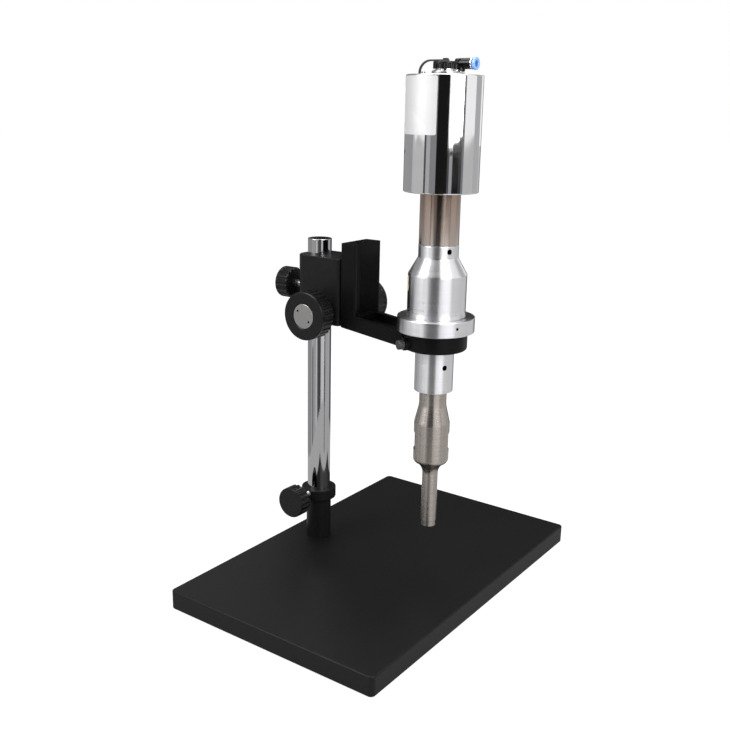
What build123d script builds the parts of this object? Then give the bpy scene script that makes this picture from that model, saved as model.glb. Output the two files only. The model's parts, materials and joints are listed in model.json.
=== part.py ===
from build123d import *
from math import acos, cos, pi, radians, sin, sqrt, tan
import os

# Probe sonicator on a bench stand, in millimetres.
# The origin is on the bench under the middle of the base plate, +X from the post to the probe.

# Running and seating clearances, all radial or per side
SLIDE_CLEAR = 0.05
WAY_CLEAR = 0.10
SEAT_CLEAR = 0.05
AIR_GAP = 0.30

# Base plate and pads
BASE_X = 247.0
BASE_Y = 383.0
BASE_THICK = 20.0
BASE_CORNER_R = 5.0
BASE_EDGE_R = 1.6
PAD_R = 9.0
PAD_THICK = 3.0
PAD_PROUD = 1.0
PAD_INSET = 22.0

# Post and its socket
POST_X = -88.0
POST_R = 12.5
POST_WALL = 1.5
POST_LONG = 324.0
PLUG_DEPTH = 12.0
PLUG_CROWN = 0.4
SOCKET_WALL = 1.0
SOCKET_FLOOR = 10.0
SOCKET_HIGH = 58.0
COLLAR_WALL = 6.3
COLLAR_HIGH = 11.5
FOOT_SCREW_R = 5.0
FOOT_SCREW_HEAD_R = 8.0
FOOT_SCREW_HEAD = 10.0
FOOT_SCREW_GRIP = 8.0
FOOT_SCREW_KEY_R = 4.5
FOOT_SCREW_KEY = 5.0

# Small clamp knobs on the socket and on the focus block
CLAMP_KNOB_R = 16.5
CLAMP_KNOB_LONG = 15.0
CLAMP_FLUTES = 18
CLAMP_STUD_R = 4.0
SOCKET_KNOB_FACE = 49.0
SOCKET_KNOB_DROP = 4.5
HEAD_KNOB_FACE = 48.0
HEAD_KNOB_UP = 33.5
CLAMP_BUSH_R = 6.0
CLAMP_BUSH_PROUD = 4.0

# Focus block on the post
BLOCK_REAR = 15.5
BLOCK_HALF_Y = 22.0
BLOCK_UP = 191.5
BLOCK_HIGH = 69.0
BLOCK_REAR_R = 12.0
BLOCK_FRONT_R = 4.5
BLOCK_BEVEL = 0.8

# Rack, pinion and coarse focus knobs
MODULE = 1.0
PINION_TEETH = 14
ADDENDUM = 0.8 * MODULE
DEDENDUM = 1.0 * MODULE
PRESSURE_ANGLE = 20.0
BACKLASH = 0.06
PINION_REACH = 24.0
PINION_UP = 14.0
RACK_PROUD = 2.5
PINION_WIDE = 12.0
SHAFT_R = 4.0
BUSH_R = 8.5
BUSH_LONG = 10.0
FOCUS_KNOB_R = 24.5
FOCUS_KNOB_LONG = 19.5
FOCUS_KNOB_FACE = 56.5
FOCUS_FLUTES = 28
FOCUS_RIM = 4.0
LOCK_CAP_R = 12.5
LOCK_CAP_THICK = 3.0
LOCK_PIN_R = 1.1
LOCK_PIN_SPAN = 17.0
LOCK_PIN_ANGLE = 145.0
DRAG_COLLAR_R = 12.5
DRAG_SCREW_R = 2.0
DRAG_SCREW_LONG = 5.0
DRAG_SCREW_OUT = 4.5
DRAG_SCREW_LEAN = 28.0

# Dovetail way between block and carriage
WAY_GAP = 2.0
WAY_NECK = 9.5
WAY_DEEP = 8.5
WAY_ANGLE = 30.0
RACK_WIDE = 10.0
RACK_BACK = 3.0
RACK_SCREW_R = 1.5
RACK_SCREW_HEAD_R = 1.8
RACK_SCREW_HEAD = 1.4
RACK_SCREW_SUNK = 0.3
RACK_SCREW_LONG = 8.0
RACK_SCREWS = 3

# Carriage column with its trough
COLUMN_DEEP = 18.0
COLUMN_HALF_Y = 21.5
COLUMN_HIGH = 85.5
COLUMN_CORNER_R = 1.2
TROUGH_FLOOR_HALF = 5.0
TROUGH_DEEP = 12.0
TROUGH_LIP = 4.5

# Sloping arm and probe ring
REACH = 144.0
ARM_SLOPE = 0.117
ARM_HIGH = 14.2
ARM_RIB = 6.0
ARM_POCKET = 8.0
RING_OUTER_R = 31.3
RING_LIFT = 2.2
RING_HIGH = 18.0
RING_EDGE_R = 2.5
SPIGOT_R = 24.0
RING_SCREW_ANGLE = -119.0
RING_SCREW_UP = 6.5
RING_SCREW_R = 2.5
RING_SCREW_HEAD_R = 4.7
RING_SCREW_HEAD = 6.0
RING_BOSS_R = 6.0
RING_BOSS = 3.5

# Booster and the ring that carries it
CARRY_WALL = 5.7
CARRY_HIGH = 14.5
CARRY_LIP = 4.5
NODE_FLANGE_STEP = 2.9
NODE_FLANGE = 3.0
NODE_ROOT = 1.2
SEAL_R = 0.75
NODE_GAP = 0.7
SPIGOT_LONG = 11.0
BOOSTER_LOW_R = 19.0
BOOSTER_DROP = 60.5
BOOSTER_BODY_R = 28.4
BOOSTER_BODY = 41.0
BOOSTER_NECK_R = 19.3
BOOSTER_CONE = 16.0
BOOSTER_NECK = 12.0
BOOSTER_BEVEL = 0.6
SPANNER_R = 2.5
SPANNER_DEEP = 8.0
SPANNER_LOW_UP = 26.5
SPANNER_HIGH_DROP = 5.0
SPANNER_ANGLE = -26.0
CARRY_HOLE_R = 1.4
CARRY_HOLE_DEEP = 4.0
CARRY_HOLE_UP = 8.5
STUD_R = 6.0
STUD_LONG = 36.0

# Horn
HORN_TOP_R = 13.5
HORN_NECK = 15.0
HORN_CONE = 18.5
HORN_BODY_R = 17.8
HORN_BODY = 38.0
HORN_SHOULDER_R = 5.0
HORN_SHOULDER_TURN = 62.0
HORN_SHANK_R = 7.9
HORN_FLAT_DROP = 10.3
HORN_FLAT_LONG = 18.0
HORN_FLAT_CUT = 1.3
HORN_FLAT_ANGLE = 35.0
HORN_SHANK = 67.7
TIP_STEP = 0.2
TIP_LONG = 5.6
TIP_FLAT_CUT = 0.8
TIP_FLAT_FOOT = 1.4
TIP_FLAT_HEAD = 0.6
TIP_STUD_R = 3.0
TIP_STUD_LONG = 9.0

# Transducer
HOUSING_R = 35.3
HOUSING_WALL = 3.0
HOUSING_LIFT = 49.0
HOUSING_LONG = 104.5
HOUSING_ROOF = 6.0
HOUSING_BEVEL = 1.0
HOUSING_BASE = 5.0
HOUSING_SCREW_R = 2.0
HOUSING_SCREW_UP = 36.5
HOUSING_SCREWS = 4
HOUSING_SCREW_ANGLE = -46.0
HOUSING_SCREW_GRIP = 4.5
HOUSING_SCREW_SUNK = 0.4
HOUSING_SCREW_KEY_R = 1.0
HOUSING_SCREW_KEY = 1.6
FRONT_MASS_R = 19.1
FRONT_HEAD = 7.0
FRONT_FLANGE_UP = 23.5
FRONT_FLANGE = 4.0
FRONT_SEAL_R = 1.0
CRADLE_WALL = 6.4
CRADLE_SKIRT = 3.0
CRADLE_OVER = 6.0
CRADLE_NUT = 5.0
PIEZO_THICK = 5.0
PIEZO_BORE_R = 8.0
PIEZO_RINGS = 4
ELECTRODE_THICK = 0.4
STACK_GAP = 3.4
STACK_ROOM = 2.0
BOLT_R = 6.0
BOLT_HEAD_R = 9.0
BOLT_HEAD = 8.0
BOLT_GRIP = 25.0
BOLT_KEY = 4.0
SLEEVE_WALL = 1.2

# Blank plates
PLATE_THICK = 0.3
PLATE_GLUE = 0.1
NAME_PLATE_HIGH = 50.8
NAME_PLATE_DROP = 1.5
NAME_PLATE_START_ANGLE = -172.0
NAME_PLATE_END_ANGLE = -69.0
BOOSTER_PLATE_HIGH = 14.0
BOOSTER_PLATE_DROP = 16.5
BOOSTER_PLATE_START_ANGLE = -170.0
BOOSTER_PLATE_END_ANGLE = -134.0

# Connector, dust cap and tether on the roof
CONNECTOR_FLANGE_R = 12.4
CONNECTOR_FLANGE = 3.2
CONNECTOR_BARREL_R = 9.0
CONNECTOR_BARREL = 5.6
CONNECTOR_BORE_R = 7.0
CONNECTOR_REAR = 5.0
CONNECTOR_SCREW_R = 1.25
CONNECTOR_SCREW_HEAD_R = 1.6
CONNECTOR_SCREW_HEAD = 1.3
CONNECTOR_SCREW_GRIP = 4.0
CONNECTOR_SCREW_SLOT = 0.6
CONNECTOR_SCREW_PCD = 21.4
PIN_R = 1.0
PIN_CIRCLE_R = 3.6
PINS = 4
PIN_UP = 3.0
CAP_R = 11.3
CAP_CLEAR = 0.7
CAP_HIGH = 6.6
CAP_ROOF = 2.2
CAP_FLUTES = 18
TETHER_THICK = 1.6
TETHER_WIDE = 3.0
TETHER_FOOT_R = 22.0
TETHER_ANGLE = -172.0
TETHER_EYE_R = 3.6
TETHER_BEND_R = 11.0
RIVET_R = 1.2
RIVET_HEAD_R = 2.6
RIVET_HEAD = 1.0

# Push-in air fitting on the roof
FITTING_X = 4.6
FITTING_Y = 17.6
FITTING_STEM_R = 4.4
FITTING_HEX = 9.6
FITTING_HEX_HIGH = 3.4
FITTING_BODY_R = 4.9
FITTING_AXIS_UP = 10.4
FITTING_TOP_UP = 4.6
FITTING_BRANCH_R = 4.9
FITTING_BRANCH = 12.6
FITTING_RING_R = 5.2
FITTING_RING = 1.4
COLLET_R = 5.7
COLLET_FLANGE = 2.4
COLLET_GAP = 1.5
COLLET_BODY_R = 3.9
COLLET_LONG = 7.0
TUBE_BORE_R = 3.05
TUBE_DEEP = 12.0
AIR_WAY_R = 1.5
FITTING_NECK_R = 2.5
FITTING_NECK = 4.0

# Places worked out from the sizes above
PLATE_LOW = PAD_PROUD
PLATE_TOP = PAD_PROUD + BASE_THICK
PROBE_X = POST_X + REACH
SOCKET_R = POST_R + SLIDE_CLEAR + SOCKET_WALL
COLLAR_R = POST_R + SLIDE_CLEAR + COLLAR_WALL
SOCKET_TOP = PLATE_TOP + SOCKET_HIGH
POST_TOP = PLATE_TOP + SOCKET_FLOOR + POST_LONG
BLOCK_BOTTOM = SOCKET_TOP + BLOCK_UP
BLOCK_TOP = BLOCK_BOTTOM + BLOCK_HIGH
HEAD_KNOB_Z = BLOCK_BOTTOM + HEAD_KNOB_UP
PITCH_R = MODULE * PINION_TEETH / 2
PINION_X = POST_X + PINION_REACH
PINION_Z = BLOCK_BOTTOM + PINION_UP
RACK_PITCH_X = PINION_X + PITCH_R
WAY_END_X = RACK_PITCH_X + RACK_PROUD
BLOCK_BACK_X = POST_X - BLOCK_REAR
BLOCK_FACE_X = WAY_END_X + WAY_DEEP
COLUMN_BACK_X = BLOCK_FACE_X + WAY_GAP
COLUMN_FACE_X = COLUMN_BACK_X + COLUMN_DEEP
COLUMN_TOP = BLOCK_BOTTOM + COLUMN_HIGH
KNOB_INNER = FOCUS_KNOB_FACE - FOCUS_KNOB_LONG
RING_BOTTOM = BLOCK_BOTTOM - ARM_SLOPE * (PROBE_X - COLUMN_BACK_X) + RING_LIFT
RING_TOP = RING_BOTTOM + RING_HIGH
RING_SCREW_Z = RING_BOTTOM + RING_SCREW_UP
RING_BORE_R = SPIGOT_R + SLIDE_CLEAR
CARRY_TOP = RING_TOP + CARRY_HIGH
NODE_FLANGE_R = BOOSTER_BODY_R + NODE_FLANGE_STEP
NUT_R = NODE_FLANGE_R + NODE_GAP
CARRY_OUTER_R = NUT_R + CARRY_WALL
BOOSTER_LOW_Z = RING_TOP - BOOSTER_DROP
BOOSTER_CONE_Z = CARRY_TOP + BOOSTER_BODY
BOOSTER_NECK_Z = BOOSTER_CONE_Z + BOOSTER_CONE
BOOSTER_TOP_Z = BOOSTER_NECK_Z + BOOSTER_NECK
BOOSTER_PLATE_Z = BOOSTER_CONE_Z - BOOSTER_PLATE_DROP
SPANNER_LOW_Z = BOOSTER_LOW_Z + SPANNER_LOW_UP
SPANNER_HIGH_Z = BOOSTER_TOP_Z - SPANNER_HIGH_DROP
HORN_CONE_LOW = BOOSTER_LOW_Z - HORN_NECK - HORN_CONE
HORN_SHOULDER_Z = HORN_CONE_LOW - HORN_BODY
HORN_FLAT_HIGH = HORN_CONE_LOW - HORN_FLAT_DROP
HORN_FLAT_LOW = HORN_FLAT_HIGH - HORN_FLAT_LONG
TIP_TOP_Z = HORN_SHOULDER_Z - HORN_SHANK
TIP_Z = TIP_TOP_Z - TIP_LONG
TIP_R = HORN_SHANK_R - TIP_STEP
HOUSING_LOW = BOOSTER_TOP_Z + HOUSING_LIFT
HOUSING_TOP = HOUSING_LOW + HOUSING_LONG
HOUSING_BORE_R = HOUSING_R - HOUSING_WALL
SCREW_RING_Z = HOUSING_LOW + HOUSING_SCREW_UP
FRONT_FLANGE_Z = HOUSING_LOW + FRONT_FLANGE_UP
FRONT_FLANGE_R = HOUSING_BORE_R - CRADLE_SKIRT - AIR_GAP
FRONT_MASS_TOP = FRONT_FLANGE_Z + FRONT_FLANGE + FRONT_HEAD
FRONT_MASS_HEAD_R = HOUSING_BORE_R - CRADLE_WALL - STACK_GAP
CRADLE_TOP = SCREW_RING_Z + CRADLE_OVER
BACK_MASS_TOP = HOUSING_TOP - HOUSING_ROOF - CONNECTOR_REAR - STACK_ROOM - BOLT_HEAD
CAP_FLOOR_Z = HOUSING_TOP + CONNECTOR_FLANGE + CONNECTOR_SCREW_HEAD + CAP_CLEAR
FITTING = (PROBE_X + FITTING_X, FITTING_Y)


def disc(radius, low, high, x=0.0, y=0.0):
    """Upright cylinder between two heights."""
    return Pos(x, y, low) * Cylinder(radius, high - low, align=(Align.CENTER, Align.CENTER, Align.MIN))


def tube(outer, inner, low, high, x=0.0, y=0.0):
    """Upright ring between two heights."""
    return disc(outer, low, high, x, y) - disc(inner, low, high, x, y)


def turned(points, x=0.0, y=0.0):
    """Solid turned about the vertical line through (x, y) from (radius, height) points."""
    outline = Polyline(*[(r, 0, z) for r, z in points], close=True)
    return Pos(x, y, 0) * revolve(make_face(outline), Axis.Z)


def rod(radius, start, end):
    """Cylinder from one point to another."""
    way = Vector(*end) - Vector(*start)
    return extrude(Plane(origin=start, z_dir=way) * Circle(radius), way.length)


def radial_rod(radius, inner, outer, angle, height, x=PROBE_X, y=0.0):
    """Level cylinder along a radius of the vertical line through (x, y)."""
    c, s = cos(radians(angle)), sin(radians(angle))
    return rod(radius, (x + inner * c, y + inner * s, height), (x + outer * c, y + outer * s, height))


def placed(shape, origin, outward):
    """Shape made on z = 0, set on a point with its +Z turned outward."""
    return Plane(origin=origin, z_dir=outward).location * shape


def seal_ring(centre_r, section_r, height, x=PROBE_X):
    """Round-section ring lying level."""
    return Pos(x, 0, height) * Torus(centre_r, section_r)


def save(node, *solids):
    """Write one node; several solids go in as a group of separate pieces."""
    flat = [one for item in solids for one in item.solids()]
    export_step(flat[0] if len(flat) == 1 else Compound(children=flat), f"parts/{node}.step")


def fluted_knob(radius, length, flutes, rim, bore):
    """Knob with scooped flutes on z = 0; a plain rim with a round edge ends it at the top."""
    pitch = 2 * pi * radius / flutes
    scoop = 0.36 * pitch
    profile = Circle(radius) - PolarLocations(radius + 0.45 * scoop, flutes) * Circle(scoop)
    grip = extrude(profile, length - rim)
    top = fillet(disc(radius, length - rim, length).edges().sort_by(Axis.Z)[-1], min(1.2, rim * 0.6))
    return grip + top - disc(bore, 0, length)


def base_plate():
    """Slab with rounded edges, pockets for the pads and a hole for the foot screw."""
    block = Box(BASE_X, BASE_Y, BASE_THICK, align=(Align.CENTER, Align.CENTER, Align.MIN))
    slab = Pos(0, 0, PLATE_LOW) * block
    slab = fillet(slab.edges().filter_by(Axis.Z), BASE_CORNER_R)
    rims = slab.faces().sort_by(Axis.Z)
    slab = fillet(rims[0].edges() + rims[-1].edges(), BASE_EDGE_R)
    pocket_top = PLATE_LOW + PAD_THICK - PAD_PROUD
    slab -= [disc(PAD_R + SEAT_CLEAR, PLATE_LOW, pocket_top, x, y) for x, y in pad_places()]
    slab -= disc(FOOT_SCREW_HEAD_R + 1, PLATE_LOW, PLATE_TOP - FOOT_SCREW_GRIP, POST_X)
    return slab - disc(FOOT_SCREW_R + SLIDE_CLEAR, PLATE_LOW, PLATE_TOP, POST_X)


def pad_places():
    """Middles of the four pads."""
    x, y = BASE_X / 2 - PAD_INSET, BASE_Y / 2 - PAD_INSET
    return [(x, y), (-x, y), (-x, -y), (x, -y)]


def foot_pads():
    """Four round pads in the pockets, standing proud of the plate."""
    return [disc(PAD_R, 0, PAD_THICK, x, y) for x, y in pad_places()]


def post_socket():
    """Turned sleeve with a thick collar at its top, closed at the foot."""
    bore = POST_R + SLIDE_CLEAR
    low = SOCKET_TOP - COLLAR_HIGH
    sleeve = turned(
        [(0, PLATE_TOP), (SOCKET_R, PLATE_TOP), (SOCKET_R, low - 2), (SOCKET_R + 2, low),
         (COLLAR_R, low), (COLLAR_R, SOCKET_TOP), (bore, SOCKET_TOP),
         (bore, PLATE_TOP + SOCKET_FLOOR), (0, PLATE_TOP + SOCKET_FLOOR)], POST_X)
    sleeve -= disc(FOOT_SCREW_R, PLATE_TOP, PLATE_TOP + SOCKET_FLOOR, POST_X)
    stud_z = SOCKET_TOP - SOCKET_KNOB_DROP
    return sleeve - rod(CLAMP_STUD_R + SLIDE_CLEAR, (POST_X, 0, stud_z), (POST_X, -COLLAR_R - 1, stud_z))


def foot_screw():
    """Cap screw from under the plate into the foot of the socket."""
    seat = PLATE_TOP - FOOT_SCREW_GRIP
    screw = disc(FOOT_SCREW_HEAD_R, seat - FOOT_SCREW_HEAD, seat, POST_X)
    screw += disc(FOOT_SCREW_R, seat, PLATE_TOP + SOCKET_FLOOR - 1, POST_X)
    key = Pos(POST_X, 0, seat - FOOT_SCREW_HEAD) * RegularPolygon(FOOT_SCREW_KEY_R, 6)
    return screw - extrude(key, FOOT_SCREW_KEY)


def post():
    """Chromed tube standing on the floor of the socket."""
    return tube(POST_R, POST_R - POST_WALL, PLATE_TOP + SOCKET_FLOOR, POST_TOP, POST_X)


def post_plug():
    """Pressed plug that closes the top of the tube, a little proud."""
    bore = POST_R - POST_WALL
    crown = POST_TOP + PLUG_CROWN
    foot = POST_TOP - PLUG_DEPTH
    return turned([(0, foot), (bore - 1, foot), (bore, foot + 1), (bore, POST_TOP),
                   (bore - PLUG_CROWN, crown), (0, crown)], POST_X)


def clamp_set(face, origin, outward, tip):
    """Clamp knob and its stud: face is how far the outer face is from the post axis."""
    inner = face - CLAMP_KNOB_LONG
    x, y, z = origin
    ox, oy, oz = outward
    knob = fluted_knob(CLAMP_KNOB_R, CLAMP_KNOB_LONG, CLAMP_FLUTES, 1.6, CLAMP_STUD_R)
    knob += disc(CLAMP_STUD_R, CLAMP_KNOB_LONG - 3, CLAMP_KNOB_LONG)
    knob = placed(knob, (x + ox * inner, y + oy * inner, z), outward)
    stud = rod(CLAMP_STUD_R, (x + ox * tip, y + oy * tip, z),
               (x + ox * (face - 3), y + oy * (face - 3), z))
    return knob, stud


def way_profile(grow):
    """Dovetail outline seen from above; grow widens it for the slot in the block."""
    flare = (WAY_GAP + WAY_DEEP) * tan(radians(WAY_ANGLE))
    outline = make_face(Polyline((COLUMN_BACK_X, WAY_NECK), (WAY_END_X, WAY_NECK + flare),
                                 (WAY_END_X, -WAY_NECK - flare), (COLUMN_BACK_X, -WAY_NECK), close=True))
    return offset(outline, grow, kind=Kind.INTERSECTION) if grow else outline


def focus_block():
    """Block bored for the post, slotted for the dovetail and cross-bored for the pinion."""
    length = BLOCK_FACE_X - BLOCK_BACK_X
    outline = Pos(BLOCK_BACK_X + length / 2, 0) * Rectangle(length, 2 * BLOCK_HALF_Y)
    corners = outline.vertices().sort_by(Axis.X)
    outline = fillet(corners[:2], BLOCK_REAR_R)
    corners = outline.vertices().sort_by(Axis.X)
    outline = fillet(corners[-2:], BLOCK_FRONT_R)
    block = Pos(0, 0, BLOCK_BOTTOM) * extrude(outline, BLOCK_HIGH)
    rims = block.faces().sort_by(Axis.Z)
    block = chamfer(rims[0].edges() + rims[-1].edges(), BLOCK_BEVEL)
    block -= disc(POST_R + SLIDE_CLEAR, BLOCK_BOTTOM, BLOCK_TOP, POST_X)
    block -= Pos(0, 0, BLOCK_BOTTOM) * extrude(way_profile(WAY_CLEAR), BLOCK_HIGH)
    relief = RACK_PITCH_X - ADDENDUM - AIR_GAP - 0.4
    block -= Pos(relief, 0, BLOCK_BOTTOM) * Box(
        WAY_END_X - relief, RACK_WIDE + 4 * AIR_GAP, BLOCK_HIGH, align=(Align.MIN, Align.CENTER, Align.MIN))
    block -= rod(BUSH_R, (PINION_X, -BLOCK_HALF_Y, PINION_Z), (PINION_X, BLOCK_HALF_Y, PINION_Z))
    return block - rod(CLAMP_BUSH_R, (BLOCK_BACK_X, 0, HEAD_KNOB_Z), (POST_X, 0, HEAD_KNOB_Z))


def pinion_bushes():
    """Bearing bush at each side of the block, flush with its face."""
    bushes = []
    for side in (-1, 1):
        start, end = side * (BLOCK_HALF_Y - BUSH_LONG), side * BLOCK_HALF_Y
        sleeve = rod(BUSH_R, (PINION_X, start, PINION_Z), (PINION_X, end, PINION_Z))
        sleeve -= rod(SHAFT_R + SLIDE_CLEAR, (PINION_X, start, PINION_Z), (PINION_X, end, PINION_Z))
        slot = way_profile(WAY_CLEAR)
        bushes.append(sleeve - Pos(0, 0, BLOCK_BOTTOM) * extrude(slot, BLOCK_HIGH))
    return bushes


def clamp_bush():
    """Threaded insert in the back of the block, standing proud behind it."""
    end = (BLOCK_BACK_X - CLAMP_BUSH_PROUD, 0, HEAD_KNOB_Z)
    start = (POST_X, 0, HEAD_KNOB_Z)
    bush = rod(CLAMP_BUSH_R, start, end) - rod(CLAMP_STUD_R + SLIDE_CLEAR, start, end)
    return bush - disc(POST_R + SLIDE_CLEAR, BLOCK_BOTTOM, BLOCK_TOP, POST_X)


def involute(angle):
    """Involute function of an angle in radians."""
    return tan(angle) - angle


def pinion_shaft():
    """Shaft with the pinion teeth cut in its middle; flanks are involutes of the base circle."""
    base = PITCH_R * cos(radians(PRESSURE_ANGLE))
    tip, root = PITCH_R + ADDENDUM, PITCH_R - DEDENDUM
    thick = pi * MODULE / 2 - BACKLASH
    steps = [base + (tip - base) * i / 4 for i in range(5)]
    at_base = thick / (2 * PITCH_R) + involute(radians(PRESSURE_ANGLE))
    half = [at_base - involute(acos(base / r)) for r in steps]
    flank = [(root, half[0])] + list(zip(steps, half))
    points = []
    for tooth in range(PINION_TEETH):
        middle = 2 * pi * tooth / PINION_TEETH
        turn = [(r, middle - h) for r, h in flank] + [(r, middle + h) for r, h in reversed(flank)]
        points += [(PINION_X + r * cos(a), PINION_Z + r * sin(a)) for r, a in turn]
    gear = make_face(Polyline(*[(x, -PINION_WIDE / 2, z) for x, z in points], close=True))
    shaft = extrude(gear, PINION_WIDE, dir=(0, 1, 0))
    end = FOCUS_KNOB_FACE - LOCK_CAP_THICK
    return shaft + rod(SHAFT_R, (PINION_X, -end, PINION_Z), (PINION_X, end, PINION_Z))


def focus_knob(side):
    """Coarse knob with fluted rim and a recess for its lock cap."""
    knob = fluted_knob(FOCUS_KNOB_R, FOCUS_KNOB_LONG, FOCUS_FLUTES, FOCUS_RIM, SHAFT_R)
    knob -= disc(LOCK_CAP_R + SEAT_CLEAR, FOCUS_KNOB_LONG - LOCK_CAP_THICK, FOCUS_KNOB_LONG)
    return placed(knob, (PINION_X, side * KNOB_INNER, PINION_Z), (0, side, 0))


def lock_cap(side):
    """Bright disc that locks a knob on the shaft, with two holes for a pin key."""
    cap = disc(LOCK_CAP_R, 0, LOCK_CAP_THICK)
    cap = chamfer(cap.edges().sort_by(Axis.Z)[-1], 0.4)
    for turn in (LOCK_PIN_ANGLE, LOCK_PIN_ANGLE + 180):
        x, y = LOCK_PIN_SPAN / 2 * cos(radians(turn)), LOCK_PIN_SPAN / 2 * sin(radians(turn))
        cap -= disc(LOCK_PIN_R, LOCK_CAP_THICK - 2, LOCK_CAP_THICK, x, y)
    return placed(cap, (PINION_X, side * (FOCUS_KNOB_FACE - LOCK_CAP_THICK), PINION_Z), (0, side, 0))


def drag_collar(side):
    """Collar between block and knob that sets the drag; a set screw holds it on the shaft."""
    start, end = side * (BLOCK_HALF_Y + AIR_GAP), side * KNOB_INNER
    collar = rod(DRAG_COLLAR_R, (PINION_X, start, PINION_Z), (PINION_X, end, PINION_Z))
    collar -= rod(SHAFT_R, (PINION_X, start, PINION_Z), (PINION_X, end, PINION_Z))
    return collar - drag_screw(side)


def drag_screw(side):
    """Set screw in the drag collar, on the side towards the probe."""
    y = side * (BLOCK_HALF_Y + DRAG_SCREW_OUT)
    reach = DRAG_COLLAR_R + 0.2
    lean = radians(DRAG_SCREW_LEAN)
    tilt = Vector(cos(lean), 0, sin(lean))
    start = Vector(PINION_X, y, PINION_Z) + tilt * (reach - DRAG_SCREW_LONG)
    end = Vector(PINION_X, y, PINION_Z) + tilt * reach
    return rod(DRAG_SCREW_R, tuple(start), tuple(end))


def rack_bar():
    """Back, low and high limits of the rack strip let into the dovetail."""
    back = RACK_PITCH_X + DEDENDUM + RACK_BACK
    return back, BLOCK_BOTTOM + 0.5, BLOCK_TOP - 0.5


def rack():
    """Straight-toothed strip; a tooth space faces the pinion's middle at rest."""
    back, low, high = rack_bar()
    tip_x, root_x = RACK_PITCH_X - ADDENDUM, RACK_PITCH_X + DEDENDUM
    pitch = pi * MODULE
    lean = tan(radians(PRESSURE_ANGLE))
    at_pitch = (pitch / 2 - BACKLASH) / 2
    tip_half, root_half = at_pitch - ADDENDUM * lean, at_pitch + DEDENDUM * lean
    first = int((low - PINION_Z) / pitch) - 1
    outline = [(root_x, low)]
    for k in range(first, int((high - PINION_Z) / pitch) + 1):
        middle = PINION_Z + (k + 0.5) * pitch
        if middle - root_half > low and middle + root_half < high:
            outline += [(root_x, middle - root_half), (tip_x, middle - tip_half),
                        (tip_x, middle + tip_half), (root_x, middle + root_half)]
    outline += [(root_x, high), (back, high), (back, low)]
    bar = make_face(Polyline(*[(x, -RACK_WIDE / 2, z) for x, z in outline], close=True))
    return extrude(bar, RACK_WIDE, dir=(0, 1, 0)) - rack_screws(SEAT_CLEAR)


def rack_screws(grow=0.0):
    """Countersunk screws through the rack into the dovetail, in tooth spaces."""
    back, low, high = rack_bar()
    pitch = pi * MODULE
    head_x = RACK_PITCH_X + DEDENDUM + RACK_SCREW_SUNK
    seat_x = head_x + RACK_SCREW_HEAD
    screws = []
    for k in range(RACK_SCREWS):
        middle = low + (high - low) * (k + 0.5) / RACK_SCREWS
        z = PINION_Z + round((middle - PINION_Z) / pitch) * pitch
        head = rod(RACK_SCREW_HEAD_R + grow, (head_x - (2 if grow else 0), 0, z), (seat_x, 0, z))
        shank = rod(RACK_SCREW_R + grow, (seat_x, 0, z), (head_x + RACK_SCREW_LONG, 0, z))
        screws.append(head + shank)
    return screws


def arm_line(x):
    """Height of the arm's lower face at a distance along it."""
    return BLOCK_BOTTOM - ARM_SLOPE * (x - COLUMN_BACK_X)


def arm_slab(start, end, half_y, low, high):
    """Sloping bar between two X planes; low and high are heights above the arm's lower face."""
    outline = make_face(Polyline(
        (start, -half_y, arm_line(start) + low), (end, -half_y, arm_line(end) + low),
        (end, -half_y, arm_line(end) + high), (start, -half_y, arm_line(start) + high), close=True))
    return extrude(outline, 2 * half_y, dir=(0, 1, 0))


def column():
    """Upright part of the carriage: a bar with a V trough in front and the dovetail behind."""
    middle = (COLUMN_BACK_X + COLUMN_FACE_X) / 2
    bar = Pos(middle, 0) * Rectangle(COLUMN_DEEP, 2 * COLUMN_HALF_Y)
    bar = fillet(bar.vertices(), COLUMN_CORNER_R)
    mouth = COLUMN_HALF_Y - TROUGH_LIP
    floor_x = COLUMN_FACE_X - TROUGH_DEEP
    trough = make_face(Polyline(
        (floor_x, -TROUGH_FLOOR_HALF), (floor_x, TROUGH_FLOOR_HALF), (COLUMN_FACE_X, mouth),
        (COLUMN_FACE_X + 1, mouth), (COLUMN_FACE_X + 1, -mouth), (COLUMN_FACE_X, -mouth), close=True))
    trough_low = arm_line(COLUMN_FACE_X) + ARM_HIGH - ARM_POCKET
    upright = Pos(0, 0, BLOCK_BOTTOM) * extrude(bar, COLUMN_TOP - BLOCK_BOTTOM)
    upright -= Pos(0, 0, trough_low) * extrude(trough, COLUMN_TOP - trough_low)
    return upright + Pos(0, 0, BLOCK_BOTTOM) * extrude(way_profile(0), BLOCK_HIGH)


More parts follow.
